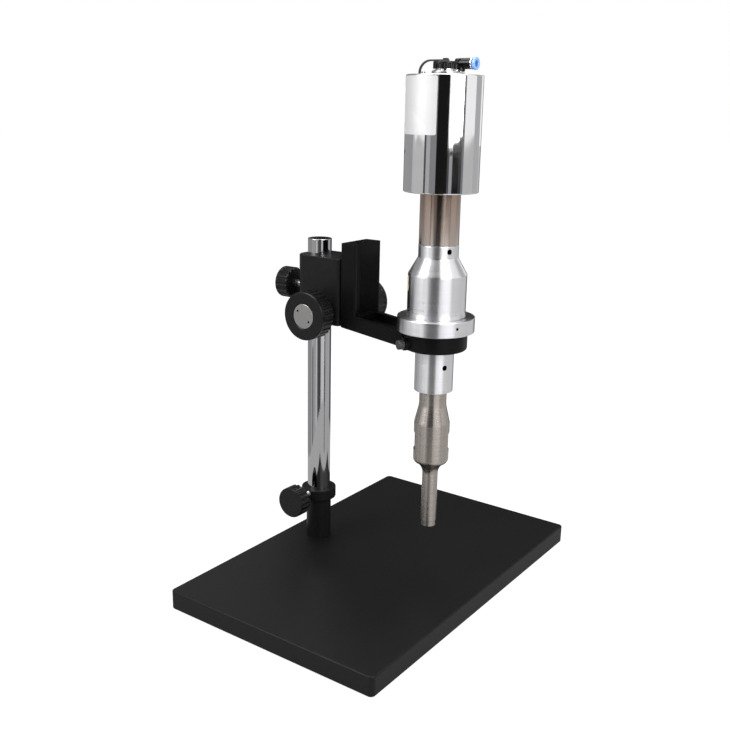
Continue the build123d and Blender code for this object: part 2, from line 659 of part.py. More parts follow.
def arm_casting():
    """Column, sloping ribbed arm and probe ring in one casting, with the rack groove cut."""
    arm = arm_slab(COLUMN_BACK_X + 2, PROBE_X - SPIGOT_R, COLUMN_HALF_Y, 0, ARM_HIGH)
    over_ring = Box(4 * RING_OUTER_R, 4 * RING_OUTER_R, ARM_HIGH, align=(Align.MIN, Align.CENTER, Align.MIN))
    arm -= Pos(PROBE_X - RING_OUTER_R - 2, 0, RING_TOP) * over_ring
    ring = fillet(disc(RING_OUTER_R, RING_BOTTOM, RING_TOP, PROBE_X).edges().sort_by(Axis.Z)[0], RING_EDGE_R)
    boss = radial_rod(RING_BOSS_R, SPIGOT_R, RING_OUTER_R + RING_BOSS, RING_SCREW_ANGLE, RING_SCREW_Z)
    casting = column() + arm + ring + boss
    pocket_end = PROBE_X - RING_OUTER_R - 3
    casting -= arm_slab(COLUMN_FACE_X - 0.5, pocket_end, COLUMN_HALF_Y - ARM_RIB,
                        ARM_HIGH - ARM_POCKET, 2 * ARM_HIGH)
    casting -= disc(RING_BORE_R, RING_BOTTOM - 5, RING_TOP + 5, PROBE_X)
    casting -= radial_rod(RING_SCREW_R + SLIDE_CLEAR, SPIGOT_R - 2, RING_OUTER_R + RING_BOSS + 1,
                          RING_SCREW_ANGLE, RING_SCREW_Z)
    back, low, high = rack_bar()
    casting -= Pos(WAY_END_X - 1, 0, low) * Box(back - WAY_END_X + 1, RACK_WIDE, high - low,
                                                align=(Align.MIN, Align.CENTER, Align.MIN))
    return casting - rack_screws(SEAT_CLEAR)


def ring_screw():
    """Knurled screw through the ring on to the spigot of the probe."""
    seat = RING_OUTER_R + RING_BOSS + 0.2
    head = extrude(Circle(RING_SCREW_HEAD_R) - PolarLocations(RING_SCREW_HEAD_R + 0.3, 14) * Circle(0.6),
                   RING_SCREW_HEAD)
    c, s = cos(radians(RING_SCREW_ANGLE)), sin(radians(RING_SCREW_ANGLE))
    head = placed(head, (PROBE_X + seat * c, seat * s, RING_SCREW_Z), (c, s, 0))
    return head + radial_rod(RING_SCREW_R, SPIGOT_R + SLIDE_CLEAR, seat, RING_SCREW_ANGLE, RING_SCREW_Z)


def carry_levels():
    """Heights of the lip, the two seals and the node flange inside the carrying ring."""
    lip = CARRY_TOP - CARRY_LIP
    flange_top = lip - 2 * SEAL_R
    flange_low = flange_top - NODE_FLANGE
    return lip, flange_top, flange_low, flange_low - 2 * SEAL_R


def carry_ring():
    """Aluminium ring that stands on the arm's ring and holds the booster at its node."""
    lip, flange_top, flange_low, nut_top = carry_levels()
    inner = BOOSTER_BODY_R + 1.0
    ring = turned([(NUT_R, RING_TOP), (CARRY_OUTER_R - 0.6, RING_TOP), (CARRY_OUTER_R, RING_TOP + 0.6),
                   (CARRY_OUTER_R, CARRY_TOP - 0.6), (CARRY_OUTER_R - 0.6, CARRY_TOP), (inner, CARRY_TOP),
                   (inner, lip), (NUT_R, lip)], PROBE_X)
    for turn in (0, 120, 240):
        ring -= radial_rod(CARRY_HOLE_R, CARRY_OUTER_R - CARRY_HOLE_DEEP, CARRY_OUTER_R + 1,
                           SPANNER_ANGLE + turn, RING_TOP + CARRY_HOLE_UP)
    return ring


def carry_nut():
    """Ring nut that closes the carrying ring; its spigot fits the arm's ring."""
    nut_top = carry_levels()[3]
    inner = BOOSTER_LOW_R + 1.0
    return turned([(inner, RING_TOP - SPIGOT_LONG), (SPIGOT_R - 1, RING_TOP - SPIGOT_LONG),
                   (SPIGOT_R, RING_TOP - SPIGOT_LONG + 1), (SPIGOT_R, RING_TOP),
                   (NUT_R, RING_TOP), (NUT_R, nut_top), (inner, nut_top)], PROBE_X)


def carry_seals():
    """Two round seals, one each side of the booster's node flange."""
    lip, flange_top, flange_low, nut_top = carry_levels()
    middle = (NODE_FLANGE_R + BOOSTER_BODY_R + 1.0) / 2
    heights = ((lip + flange_top) / 2, (flange_low + nut_top) / 2)
    return [seal_ring(middle, SEAL_R, z) for z in heights]


def booster():
    """Aluminium booster: neck, cone, thick body, node flange and slim lower half."""
    lip, flange_top, flange_low, nut_top = carry_levels()
    low = BOOSTER_LOW_Z
    bevel = BOOSTER_BEVEL
    body = turned([(0, low), (BOOSTER_LOW_R - bevel, low), (BOOSTER_LOW_R, low + bevel),
                   (BOOSTER_LOW_R, flange_low - NODE_ROOT), (BOOSTER_LOW_R + NODE_ROOT, flange_low),
                   (NODE_FLANGE_R, flange_low),
                   (NODE_FLANGE_R, flange_top), (BOOSTER_BODY_R, flange_top),
                   (BOOSTER_BODY_R, BOOSTER_CONE_Z), (BOOSTER_NECK_R, BOOSTER_NECK_Z),
                   (BOOSTER_NECK_R, BOOSTER_TOP_Z - bevel), (BOOSTER_NECK_R - bevel, BOOSTER_TOP_Z),
                   (0, BOOSTER_TOP_Z)], PROBE_X)
    body -= disc(STUD_R, low, low + STUD_LONG / 2 + 1, PROBE_X)
    body -= disc(STUD_R, BOOSTER_TOP_Z - STUD_LONG / 2 - 1, BOOSTER_TOP_Z, PROBE_X)
    for turn in (0, 180):
        for radius, height in ((BOOSTER_LOW_R, SPANNER_LOW_Z), (BOOSTER_NECK_R, SPANNER_HIGH_Z)):
            body -= radial_rod(SPANNER_R, radius - SPANNER_DEEP, radius + 1, SPANNER_ANGLE + turn, height)
    return body


def coupling_stud(joint_z):
    """Threaded stud that joins two sections of the stack at a face."""
    return disc(STUD_R, joint_z - STUD_LONG / 2, joint_z + STUD_LONG / 2, PROBE_X)


def horn():
    """Titanium horn: neck, cone, body with wrench flats, rounded shoulder, swept root and shank."""
    top = BOOSTER_LOW_Z
    cone_top = top - HORN_NECK
    turn = radians(HORN_SHOULDER_TURN)
    drop = 1 - cos(turn)
    mid_r = HORN_BODY_R - HORN_SHOULDER_R * drop
    mid_z = HORN_SHOULDER_Z - HORN_SHOULDER_R * sin(turn)
    sweep_r = (mid_r - HORN_SHANK_R) / drop
    low_z = mid_z - sweep_r * sin(turn)
    half = turn / 2
    bulge_r = HORN_BODY_R - HORN_SHOULDER_R * (1 - cos(half))
    bulge = (bulge_r, 0, HORN_SHOULDER_Z - HORN_SHOULDER_R * sin(half))
    hollow = (HORN_SHANK_R + sweep_r * (1 - cos(half)), 0, low_z + sweep_r * sin(half))
    outline = Polyline((0, 0, TIP_TOP_Z), (0, 0, top), (HORN_TOP_R, 0, top), (HORN_TOP_R, 0, cone_top),
                       (HORN_BODY_R, 0, HORN_CONE_LOW), (HORN_BODY_R, 0, HORN_SHOULDER_Z))
    outline += ThreePointArc((HORN_BODY_R, 0, HORN_SHOULDER_Z), bulge, (mid_r, 0, mid_z))
    outline += ThreePointArc((mid_r, 0, mid_z), hollow, (HORN_SHANK_R, 0, low_z))
    outline += Polyline((HORN_SHANK_R, 0, low_z), (HORN_SHANK_R, 0, TIP_TOP_Z), (0, 0, TIP_TOP_Z))
    body = Pos(PROBE_X, 0, 0) * revolve(make_face(outline), Axis.Z)
    body -= flats(HORN_BODY_R - HORN_FLAT_CUT, HORN_BODY_R + 1, HORN_FLAT_LOW, HORN_FLAT_HIGH)
    body -= disc(STUD_R, top - STUD_LONG / 2 - 1, top, PROBE_X)
    return body - disc(TIP_STUD_R, TIP_TOP_Z, TIP_TOP_Z + TIP_STUD_LONG, PROBE_X)


def flats(inner, outer, low, high):
    """Pair of blocks that mill two opposite wrench flats."""
    blocks = []
    for side in (0, 180):
        cutter = Pos(inner, 0, low) * Box(outer - inner, 2 * outer, high - low,
                                          align=(Align.MIN, Align.CENTER, Align.MIN))
        blocks.append(Pos(PROBE_X, 0, 0) * Rot(0, 0, HORN_FLAT_ANGLE + side) * cutter)
    return blocks


def horn_tip():
    """Screwed-in working tip with two small flats and its stud."""
    tip = disc(TIP_R, TIP_Z, TIP_TOP_Z, PROBE_X)
    tip = chamfer(tip.edges().sort_by(Axis.Z)[0], 0.4)
    tip -= flats(TIP_R - TIP_FLAT_CUT, TIP_R + 1, TIP_Z + TIP_FLAT_FOOT, TIP_TOP_Z - TIP_FLAT_HEAD)
    return tip + disc(TIP_STUD_R, TIP_TOP_Z, TIP_TOP_Z + TIP_STUD_LONG, PROBE_X)


def transducer_housing():
    """Chromed can, open at the foot, with ports in its roof and screw holes in its wall."""
    bevel = HOUSING_BEVEL
    can = turned([(HOUSING_BORE_R, HOUSING_LOW), (HOUSING_R - bevel, HOUSING_LOW),
                  (HOUSING_R, HOUSING_LOW + bevel), (HOUSING_R, HOUSING_TOP - bevel),
                  (HOUSING_R - bevel, HOUSING_TOP), (0, HOUSING_TOP),
                  (0, HOUSING_TOP - HOUSING_ROOF), (HOUSING_BORE_R, HOUSING_TOP - HOUSING_ROOF)], PROBE_X)
    can -= disc(CONNECTOR_BARREL_R, HOUSING_TOP - HOUSING_ROOF, HOUSING_TOP, PROBE_X)
    can -= disc(FITTING_STEM_R + SLIDE_CLEAR, HOUSING_TOP - HOUSING_ROOF, HOUSING_TOP, *FITTING)
    for angle in screw_angles():
        can -= radial_rod(HOUSING_SCREW_R, HOUSING_BORE_R - 1, HOUSING_R + 1, angle, SCREW_RING_Z)
    screw_foot = HOUSING_TOP - CONNECTOR_SCREW_GRIP
    places = connector_screw_places() + [tether_foot()]
    return can - [disc(CONNECTOR_SCREW_R, screw_foot, HOUSING_TOP, x, y) for x, y in places]


def screw_angles():
    """Angles of the set screws round the can."""
    return [HOUSING_SCREW_ANGLE + 360 * k / HOUSING_SCREWS for k in range(HOUSING_SCREWS)]


def housing_screws():
    """Set screws through the can into the cradle, each with a key socket."""
    screws = []
    for angle in screw_angles():
        outer = HOUSING_R - HOUSING_SCREW_SUNK
        screw = radial_rod(HOUSING_SCREW_R, HOUSING_BORE_R - HOUSING_SCREW_GRIP, outer, angle, SCREW_RING_Z)
        key = radial_rod(HOUSING_SCREW_KEY_R, outer - HOUSING_SCREW_KEY, outer + 1, angle, SCREW_RING_Z)
        screws.append(screw - key)
    return screws


def housing_base():
    """Ring that closes the foot of the can round the front mass."""
    inner = FRONT_MASS_R + 1.0
    return tube(HOUSING_BORE_R, inner, HOUSING_LOW, HOUSING_LOW + HOUSING_BASE, PROBE_X)


def front_mass():
    """Front driver: output end, node flange and the head that the ceramics press on."""
    top_z, low_z = FRONT_MASS_TOP, BOOSTER_TOP_Z
    flange_top = FRONT_FLANGE_Z + FRONT_FLANGE
    body = turned([(0, low_z), (FRONT_MASS_R - 0.5, low_z), (FRONT_MASS_R, low_z + 0.5),
                   (FRONT_MASS_R, FRONT_FLANGE_Z - 2), (FRONT_MASS_R + 2, FRONT_FLANGE_Z),
                   (FRONT_FLANGE_R, FRONT_FLANGE_Z), (FRONT_FLANGE_R, flange_top),
                   (FRONT_MASS_HEAD_R, flange_top), (FRONT_MASS_HEAD_R, top_z), (0, top_z)], PROBE_X)
    body -= disc(STUD_R, low_z, low_z + STUD_LONG / 2 + 1, PROBE_X)
    return body - disc(BOLT_R, top_z - BOLT_GRIP - 1, top_z, PROBE_X)


def cradle():
    """Ring inside the can that carries the front mass at its node flange."""
    shoulder = FRONT_FLANGE_Z + FRONT_FLANGE + 2 * FRONT_SEAL_R
    inner = HOUSING_BORE_R - CRADLE_WALL
    low = FRONT_FLANGE_Z - 2 * FRONT_SEAL_R - CRADLE_NUT
    bore = FRONT_FLANGE_R + AIR_GAP
    ring = turned([(bore, low), (HOUSING_BORE_R, low), (HOUSING_BORE_R, CRADLE_TOP), (inner, CRADLE_TOP),
                   (inner, shoulder), (bore, shoulder)], PROBE_X)
    return ring - housing_screws()


def cradle_nut():
    """Ring nut that holds the front mass up in the cradle."""
    top = FRONT_FLANGE_Z - 2 * FRONT_SEAL_R
    return tube(FRONT_FLANGE_R + AIR_GAP, FRONT_MASS_R + 1.5, top - CRADLE_NUT, top, PROBE_X)


def cradle_seals():
    """Two round seals that grip the front mass's node flange."""
    middle = FRONT_FLANGE_R - 2
    low = FRONT_FLANGE_Z - FRONT_SEAL_R
    return [seal_ring(middle, FRONT_SEAL_R, low),
            seal_ring(middle, FRONT_SEAL_R, FRONT_FLANGE_Z + FRONT_FLANGE + FRONT_SEAL_R)]


def stack_level(k):
    """Height of the k-th electrode under its ceramic ring."""
    return FRONT_MASS_TOP + k * (PIEZO_THICK + ELECTRODE_THICK)


def piezo_rings():
    """Ceramic rings of the stack."""
    low = [stack_level(k) + ELECTRODE_THICK for k in range(PIEZO_RINGS)]
    return [tube(FRONT_MASS_HEAD_R, PIEZO_BORE_R, z, z + PIEZO_THICK, PROBE_X) for z in low]


def electrodes():
    """Thin contact discs between the ceramics, each with a solder tab."""
    plates = []
    for k in range(PIEZO_RINGS + 1):
        low = stack_level(k)
        plate = disc(FRONT_MASS_HEAD_R, low, low + ELECTRODE_THICK, PROBE_X)
        if k:
            turn = 90 if k % 2 else -90
            tab = Box(4, 4, ELECTRODE_THICK, align=(Align.MIN, Align.CENTER, Align.MIN))
            plate += Pos(PROBE_X, 0, low) * Rot(0, 0, turn) * Pos(FRONT_MASS_HEAD_R - 2, 0, 0) * tab
        plates.append(plate - disc(PIEZO_BORE_R, low, low + ELECTRODE_THICK, PROBE_X))
    return plates


def back_mass():
    """Steel back driver with a bore for the bolt."""
    low = stack_level(PIEZO_RINGS) + ELECTRODE_THICK
    return tube(FRONT_MASS_HEAD_R, BOLT_R + AIR_GAP, low, BACK_MASS_TOP, PROBE_X)


def preload_bolt():
    """Bolt that squeezes the stack on to the front mass."""
    seat = BACK_MASS_TOP
    bolt = disc(BOLT_R, FRONT_MASS_TOP - BOLT_GRIP, seat, PROBE_X)
    bolt += disc(BOLT_HEAD_R, seat, seat + BOLT_HEAD, PROBE_X)
    key = extrude(Pos(PROBE_X, 0, seat + BOLT_HEAD - BOLT_KEY) * RegularPolygon(BOLT_R - 1, 6), BOLT_KEY)
    return bolt - key


def bolt_sleeve():
    """Insulating sleeve on the bolt inside the ceramics."""
    top = stack_level(PIEZO_RINGS) + ELECTRODE_THICK
    return tube(BOLT_R + SLEEVE_WALL, BOLT_R, FRONT_MASS_TOP, top, PROBE_X)


def curved_plate(radius, low, high, start, end):
    """Thin plate wrapped on a cylinder between two angles."""
    inner = radius + PLATE_GLUE
    ring = tube(inner + PLATE_THICK, inner, low, high, PROBE_X)
    reach = 3 * radius
    steps = 4
    edge = [(reach * cos(radians(a)), reach * sin(radians(a)))
            for a in [start + (end - start) * k / steps for k in range(steps + 1)]]
    wedge = Pos(PROBE_X, 0, low) * extrude(make_face(Polyline((0, 0), *edge, close=True)), high - low)
    return ring & wedge


def name_plate():
    """Blank foil plate on the can."""
    high = HOUSING_TOP - NAME_PLATE_DROP
    return curved_plate(HOUSING_R, high - NAME_PLATE_HIGH, high, NAME_PLATE_START_ANGLE, NAME_PLATE_END_ANGLE)


def booster_plate():
    """Small blank plate on the booster."""
    return curved_plate(BOOSTER_BODY_R, BOOSTER_PLATE_Z, BOOSTER_PLATE_Z + BOOSTER_PLATE_HIGH,
                        BOOSTER_PLATE_START_ANGLE, BOOSTER_PLATE_END_ANGLE)


def connector_screw_places():
    """Middles of the connector's flange screws."""
    r = CONNECTOR_SCREW_PCD / 2
    return [(PROBE_X + r * cos(radians(a)), r * sin(radians(a))) for a in (10, 100, 190, 280)]


def connector_socket():
    """Panel connector: flange on the roof, threaded barrel above and body through the roof."""
    flange_top = HOUSING_TOP + CONNECTOR_FLANGE
    top = flange_top + CONNECTOR_BARREL
    low = HOUSING_TOP - HOUSING_ROOF - CONNECTOR_REAR
    shell = turned([(0, low), (CONNECTOR_BARREL_R - 0.1, low), (CONNECTOR_BARREL_R - 0.1, HOUSING_TOP),
                    (CONNECTOR_FLANGE_R, HOUSING_TOP), (CONNECTOR_FLANGE_R, flange_top - 0.5),
                    (CONNECTOR_FLANGE_R - 0.5, flange_top), (CONNECTOR_BARREL_R, flange_top),
                    (CONNECTOR_BARREL_R, top), (CONNECTOR_BORE_R, top), (CONNECTOR_BORE_R, HOUSING_TOP),
                    (0, HOUSING_TOP)], PROBE_X)
    shell -= [disc(CONNECTOR_SCREW_R, HOUSING_TOP, flange_top, x, y) for x, y in connector_screw_places()]
    return shell


def connector_pins():
    """Contact pins standing in the connector."""
    pins = []
    for k in range(PINS):
        a = 2 * pi * k / PINS
        x, y = PROBE_X + PIN_CIRCLE_R * cos(a), PIN_CIRCLE_R * sin(a)
        pins.append(disc(PIN_R, HOUSING_TOP, HOUSING_TOP + CONNECTOR_FLANGE + PIN_UP, x, y))
    return pins


def small_screw(x, y, seat):
    """Cheese-head screw standing in the roof with its head on a seat."""
    screw = disc(CONNECTOR_SCREW_R, HOUSING_TOP - CONNECTOR_SCREW_GRIP, seat, x, y)
    screw += disc(CONNECTOR_SCREW_HEAD_R, seat, seat + CONNECTOR_SCREW_HEAD, x, y)
    wide = 3 * CONNECTOR_SCREW_HEAD_R
    slot = Box(wide, CONNECTOR_SCREW_SLOT, 1, align=(Align.CENTER, Align.CENTER, Align.MIN))
    return screw - Pos(x, y, seat + CONNECTOR_SCREW_HEAD - CONNECTOR_SCREW_SLOT) * slot


def connector_screws():
    """Screws that hold the connector's flange."""
    return [small_screw(x, y, HOUSING_TOP + CONNECTOR_FLANGE) for x, y in connector_screw_places()]


def dust_cap():
    """Screw-on cap over the connector, with a fluted skirt."""
    top = CAP_FLOOR_Z + CAP_HIGH
    scoop = 0.36 * 2 * pi * CAP_R / CAP_FLUTES
    skirt = Circle(CAP_R) - PolarLocations(CAP_R + 0.45 * scoop, CAP_FLUTES) * Circle(scoop)
    cap = Pos(PROBE_X, 0, CAP_FLOOR_Z) * extrude(skirt, CAP_HIGH - CAP_ROOF)
    cap += fillet(disc(CAP_R, top - CAP_ROOF, top, PROBE_X).edges().sort_by(Axis.Z)[-1], 1.2)
    cap -= disc(CONNECTOR_BARREL_R + SLIDE_CLEAR, CAP_FLOOR_Z, top - CAP_ROOF, PROBE_X)
    return cap - disc(RIVET_R + SLIDE_CLEAR, top - CAP_ROOF, top, PROBE_X)


def tether_foot():
    """Where the tether's eye is screwed to the roof."""
    a = radians(TETHER_ANGLE)
    return PROBE_X + TETHER_FOOT_R * cos(a), TETHER_FOOT_R * sin(a)


def tether():
    """Moulded strap from its eye on the roof, up in an arc and over to the middle of the cap."""
    level = CAP_FLOOR_Z + CAP_HIGH + SLIDE_CLEAR + TETHER_THICK / 2
    rise = TETHER_FOOT_R + TETHER_EYE_R
    low = HOUSING_TOP + TETHER_THICK / 2
    path = Polyline((rise, 0, low), (rise, 0, level - TETHER_BEND_R))
    bend = ThreePointArc((rise, 0, level - TETHER_BEND_R),
                         (rise - TETHER_BEND_R * (1 - sqrt(0.5)), 0, level - TETHER_BEND_R * (1 - sqrt(0.5))),
                         (rise - TETHER_BEND_R, 0, level))
    path = path + bend + Line((rise - TETHER_BEND_R, 0, level), (0, 0, level))
    section = Plane(origin=(rise, 0, low), z_dir=(0, 0, 1)) * Rectangle(TETHER_THICK, TETHER_WIDE)
    strap = sweep(section, path=path)
    eye = disc(TETHER_EYE_R, HOUSING_TOP, HOUSING_TOP + TETHER_THICK, TETHER_FOOT_R)
    reach = TETHER_EYE_R + TETHER_THICK / 2
    heel = Box(reach, TETHER_WIDE, TETHER_THICK, align=(Align.MIN, Align.CENTER, Align.MIN))
    heel = Pos(TETHER_FOOT_R, 0, HOUSING_TOP) * heel
    end = disc(RIVET_HEAD_R + 0.8, level - TETHER_THICK / 2, level + TETHER_THICK / 2)
    strap = strap + eye + heel + end
    strap = Pos(PROBE_X, 0, 0) * Rot(0, 0, TETHER_ANGLE) * strap
    x, y = tether_foot()
    strap -= disc(CONNECTOR_SCREW_R, HOUSING_TOP, HOUSING_TOP + TETHER_THICK, x, y)
    return strap - disc(RIVET_R, level - TETHER_THICK, level + TETHER_THICK, PROBE_X)


def tether_screw():
    """Screw that holds the tether's eye."""
    x, y = tether_foot()
    return small_screw(x, y, HOUSING_TOP + TETHER_THICK)


def tether_rivet():
    """Rivet in the tether that the cap turns on."""
    cap_top = CAP_FLOOR_Z + CAP_HIGH
    strap_top = cap_top + SLIDE_CLEAR + TETHER_THICK
    rivet = disc(RIVET_R, cap_top - CAP_ROOF, strap_top, PROBE_X)
    return rivet + disc(RIVET_HEAD_R, strap_top, strap_top + RIVET_HEAD, PROBE_X)


def fitting_stem():
    """Threaded stem with a hexagon, screwed into the roof; air passes through it."""
    x, y = FITTING
    stem = disc(FITTING_STEM_R, HOUSING_TOP - HOUSING_ROOF - 2, HOUSING_TOP, x, y)
    hexagon = RegularPolygon(FITTING_HEX / 2, 6, major_radius=False)
    stem += extrude(Pos(x, y, HOUSING_TOP) * hexagon, FITTING_HEX_HIGH)
    neck_top = HOUSING_TOP + FITTING_HEX_HIGH + FITTING_NECK
    stem += disc(FITTING_NECK_R, HOUSING_TOP, neck_top, x, y)
    return stem - disc(AIR_WAY_R, HOUSING_TOP - HOUSING_ROOF - 2, neck_top, x, y)


def fitting_reach():
    """Distances from the swivel axis to the branch's end, the bright ring's end and the collet's face."""
    ring_end = FITTING_BRANCH + FITTING_RING
    return FITTING_BRANCH, ring_end, ring_end + COLLET_GAP + COLLET_FLANGE


def fitting_elbow():
    """Elbow body that swivels on the stem, bored for the tube and the collet."""
    x, y = FITTING
    low = HOUSING_TOP + FITTING_HEX_HIGH + AIR_GAP
    axis_z = HOUSING_TOP + FITTING_AXIS_UP
    top = axis_z + FITTING_TOP_UP
    branch, ring_end, face = fitting_reach()
    body = disc(FITTING_BODY_R, low, top, x, y)
    body = fillet(body.edges().sort_by(Axis.Z)[-1], 1.8)
    body += rod(FITTING_BRANCH_R, (x, y, axis_z), (x + branch, y, axis_z))
    body -= disc(FITTING_NECK_R + SLIDE_CLEAR, low, low + FITTING_NECK, x, y)
    body -= rod(COLLET_BODY_R + SLIDE_CLEAR, (x + face - COLLET_LONG - COLLET_GAP - 1, y, axis_z),
                (x + branch, y, axis_z))
    body -= rod(TUBE_BORE_R, (x + face - TUBE_DEEP - COLLET_GAP, y, axis_z), (x + branch, y, axis_z))
    body -= rod(AIR_WAY_R, (x, y, axis_z), (x + branch, y, axis_z))
    return body - disc(AIR_WAY_R, low, axis_z, x, y)


def fitting_ring():
    """Bright sleeve in the mouth of the branch."""
    x, y = FITTING
    axis_z = HOUSING_TOP + FITTING_AXIS_UP
    branch, ring_end, face = fitting_reach()
    ring = rod(FITTING_RING_R, (x + branch, y, axis_z), (x + ring_end, y, axis_z))
    return ring - rod(COLLET_BODY_R + SLIDE_CLEAR, (x + branch, y, axis_z), (x + ring_end, y, axis_z))


def release_collet():
    """Release collet that slides into the branch to let the tube go."""
    x, y = FITTING
    axis_z = HOUSING_TOP + FITTING_AXIS_UP
    branch, ring_end, face = fitting_reach()
    flange = rod(COLLET_R, (x + face - COLLET_FLANGE, y, axis_z), (x + face, y, axis_z))
    flange = chamfer(flange.edges().sort_by(Axis.X)[-1], 0.5)
    inner_end = (x + face - COLLET_LONG, y, axis_z)
    collet = flange + rod(COLLET_BODY_R, inner_end, (x + face - COLLET_FLANGE, y, axis_z))
    return collet - rod(TUBE_BORE_R, inner_end, (x + face, y, axis_z))


os.makedirs("parts", exist_ok=True)

save("base_plate", base_plate())
save("foot_pads", *foot_pads())
save("foot_screw", foot_screw())
save("post_socket", post_socket())
save("post", post())
save("post_plug", post_plug())

socket_knob_z = SOCKET_TOP - SOCKET_KNOB_DROP
tip_gap = POST_R + SLIDE_CLEAR
knob, stud = clamp_set(SOCKET_KNOB_FACE, (POST_X, 0, socket_knob_z), (0, -1, 0), tip_gap)
save("socket_clamp_knob", knob)
save("socket_clamp_stud", stud)
knob, stud = clamp_set(HEAD_KNOB_FACE, (POST_X, 0, HEAD_KNOB_Z), (-1, 0, 0), tip_gap)
save("block_clamp_knob", knob)
save("block_clamp_stud", stud)

save("focus_block", focus_block())
save("pinion_bushes", *pinion_bushes())
save("clamp_bush", clamp_bush())
save("pinion_shaft", pinion_shaft())
save("near_focus_knob", focus_knob(-1))
save("far_focus_knob", focus_knob(1))
save("knob_lock_caps", lock_cap(-1), lock_cap(1))
save("drag_collars", drag_collar(-1), drag_collar(1))
save("drag_screws", drag_screw(-1), drag_screw(1))

save("arm_casting", arm_casting())
save("rack", rack())
save("rack_screws", *rack_screws())
save("ring_screw", ring_screw())

save("carry_ring", carry_ring())
save("carry_nut", carry_nut())
save("carry_seals", *carry_seals())
save("booster", booster())
save("horn_stud", coupling_stud(BOOSTER_LOW_Z))
save("booster_stud", coupling_stud(BOOSTER_TOP_Z))
save("horn", horn())
save("horn_tip", horn_tip())

save("transducer_housing", transducer_housing())
save("housing_screws", *housing_screws())
save("housing_base", housing_base())
save("front_mass", front_mass())
save("cradle", cradle())
save("cradle_nut", cradle_nut())
save("cradle_seals", *cradle_seals())
save("piezo_rings", *piezo_rings())
save("electrodes", *electrodes())
save("back_mass", back_mass())
save("preload_bolt", preload_bolt())
save("bolt_sleeve", bolt_sleeve())
save("name_plate", name_plate())
save("booster_plate", booster_plate())

save("connector_socket", connector_socket())
save("connector_pins", *connector_pins())
save("connector_screws", *connector_screws())
save("dust_cap", dust_cap())
save("tether", tether())
save("tether_screw", tether_screw())
save("tether_rivet", tether_rivet())

save("fitting_stem", fitting_stem())
save("fitting_elbow", fitting_elbow())
save("fitting_ring", fitting_ring())
save("release_collet", release_collet())
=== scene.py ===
import json
from math import cos, pi, radians, sin

import bmesh
import bpy
import numpy as np
from mathutils import Matrix, Vector


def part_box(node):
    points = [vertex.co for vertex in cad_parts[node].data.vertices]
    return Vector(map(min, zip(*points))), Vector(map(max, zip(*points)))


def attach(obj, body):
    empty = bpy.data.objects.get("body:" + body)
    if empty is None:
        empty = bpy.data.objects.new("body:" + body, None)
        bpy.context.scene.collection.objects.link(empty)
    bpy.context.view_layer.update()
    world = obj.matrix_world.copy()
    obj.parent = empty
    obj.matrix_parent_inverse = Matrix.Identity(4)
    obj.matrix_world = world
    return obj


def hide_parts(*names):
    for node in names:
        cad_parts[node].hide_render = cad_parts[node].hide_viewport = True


# Looks of a probe sonicator on its stand. Sizes are in millimetres; MM turns them into metres.

MM = 0.001
PHOTO_SIZE = 730

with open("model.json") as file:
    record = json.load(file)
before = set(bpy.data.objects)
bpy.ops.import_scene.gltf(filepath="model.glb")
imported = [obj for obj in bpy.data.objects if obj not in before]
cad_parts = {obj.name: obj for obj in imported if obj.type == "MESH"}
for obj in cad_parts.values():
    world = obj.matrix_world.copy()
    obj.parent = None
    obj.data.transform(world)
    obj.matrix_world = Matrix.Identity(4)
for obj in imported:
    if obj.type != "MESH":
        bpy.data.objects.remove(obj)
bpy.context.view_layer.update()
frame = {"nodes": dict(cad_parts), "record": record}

record = frame["record"]
BODY_OF = {node: body for body, nodes in record["behaviour"]["bodies"].items() for node in nodes}
SLOT_OF = {part["node"]: part["material_slot"] for part in record["subparts"]}

# Main places, the same as in the part's source
POST_X = -88.0
PROBE_X = 56.0
PINION_X = -64.0
PINION_Z = 284.5
ROOF_Z = 516.0
SPANNER_ANGLE = -26.0
HORN_BODY_R = 17.8
HORN_FOOT_Z = 79.3


def cad_span(node):
    """Lowest and highest corner of a CAD node, in millimetres."""
    low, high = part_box(node)
    return np.array(low) / MM, np.array(high) / MM


# Surfaces

def surface(name, grid, closed=False):
    """Mesh of a grid of points. Columns run round and always join up; rows run along and join up
    when closed is true. Rows that shrink to a point become poles, and faces are turned outwards."""
    rows, columns = grid.shape[:2]
    index = np.arange(rows * columns).reshape(rows, columns)
    beside = np.roll(index, -1, axis=1)
    if closed:
        first, second = index, beside
        third, fourth = np.roll(beside, -1, axis=0), np.roll(index, -1, axis=0)
    else:
        first, second = index[:-1], beside[:-1]
        third, fourth = beside[1:], index[1:]
    faces = np.stack([first, second, third, fourth], axis=-1).reshape(-1, 4)
    mesh = bpy.data.meshes.new(name)
    mesh.from_pydata((grid.reshape(-1, 3) * MM).tolist(), [], faces.tolist())
    return finished_object(name, mesh)


def finished_object(name, mesh, sharp=38):
    """Object of a mesh with doubles merged, faces outwards, and smooth shading up to the sharp angle."""
    work = bmesh.new()
    work.from_mesh(mesh)
    bmesh.ops.remove_doubles(work, verts=work.verts, dist=2e-6)
    bmesh.ops.dissolve_degenerate(work, edges=work.edges, dist=1e-7)
    bmesh.ops.recalc_face_normals(work, faces=work.faces)
    work.to_mesh(mesh)
    work.free()
    mesh.polygons.foreach_set("use_smooth", np.ones(len(mesh.polygons), dtype=bool))
    mesh.set_sharp_from_angle(angle=radians(sharp))
    piece = bpy.data.objects.new(name, mesh)
    bpy.context.scene.collection.objects.link(piece)
    return piece


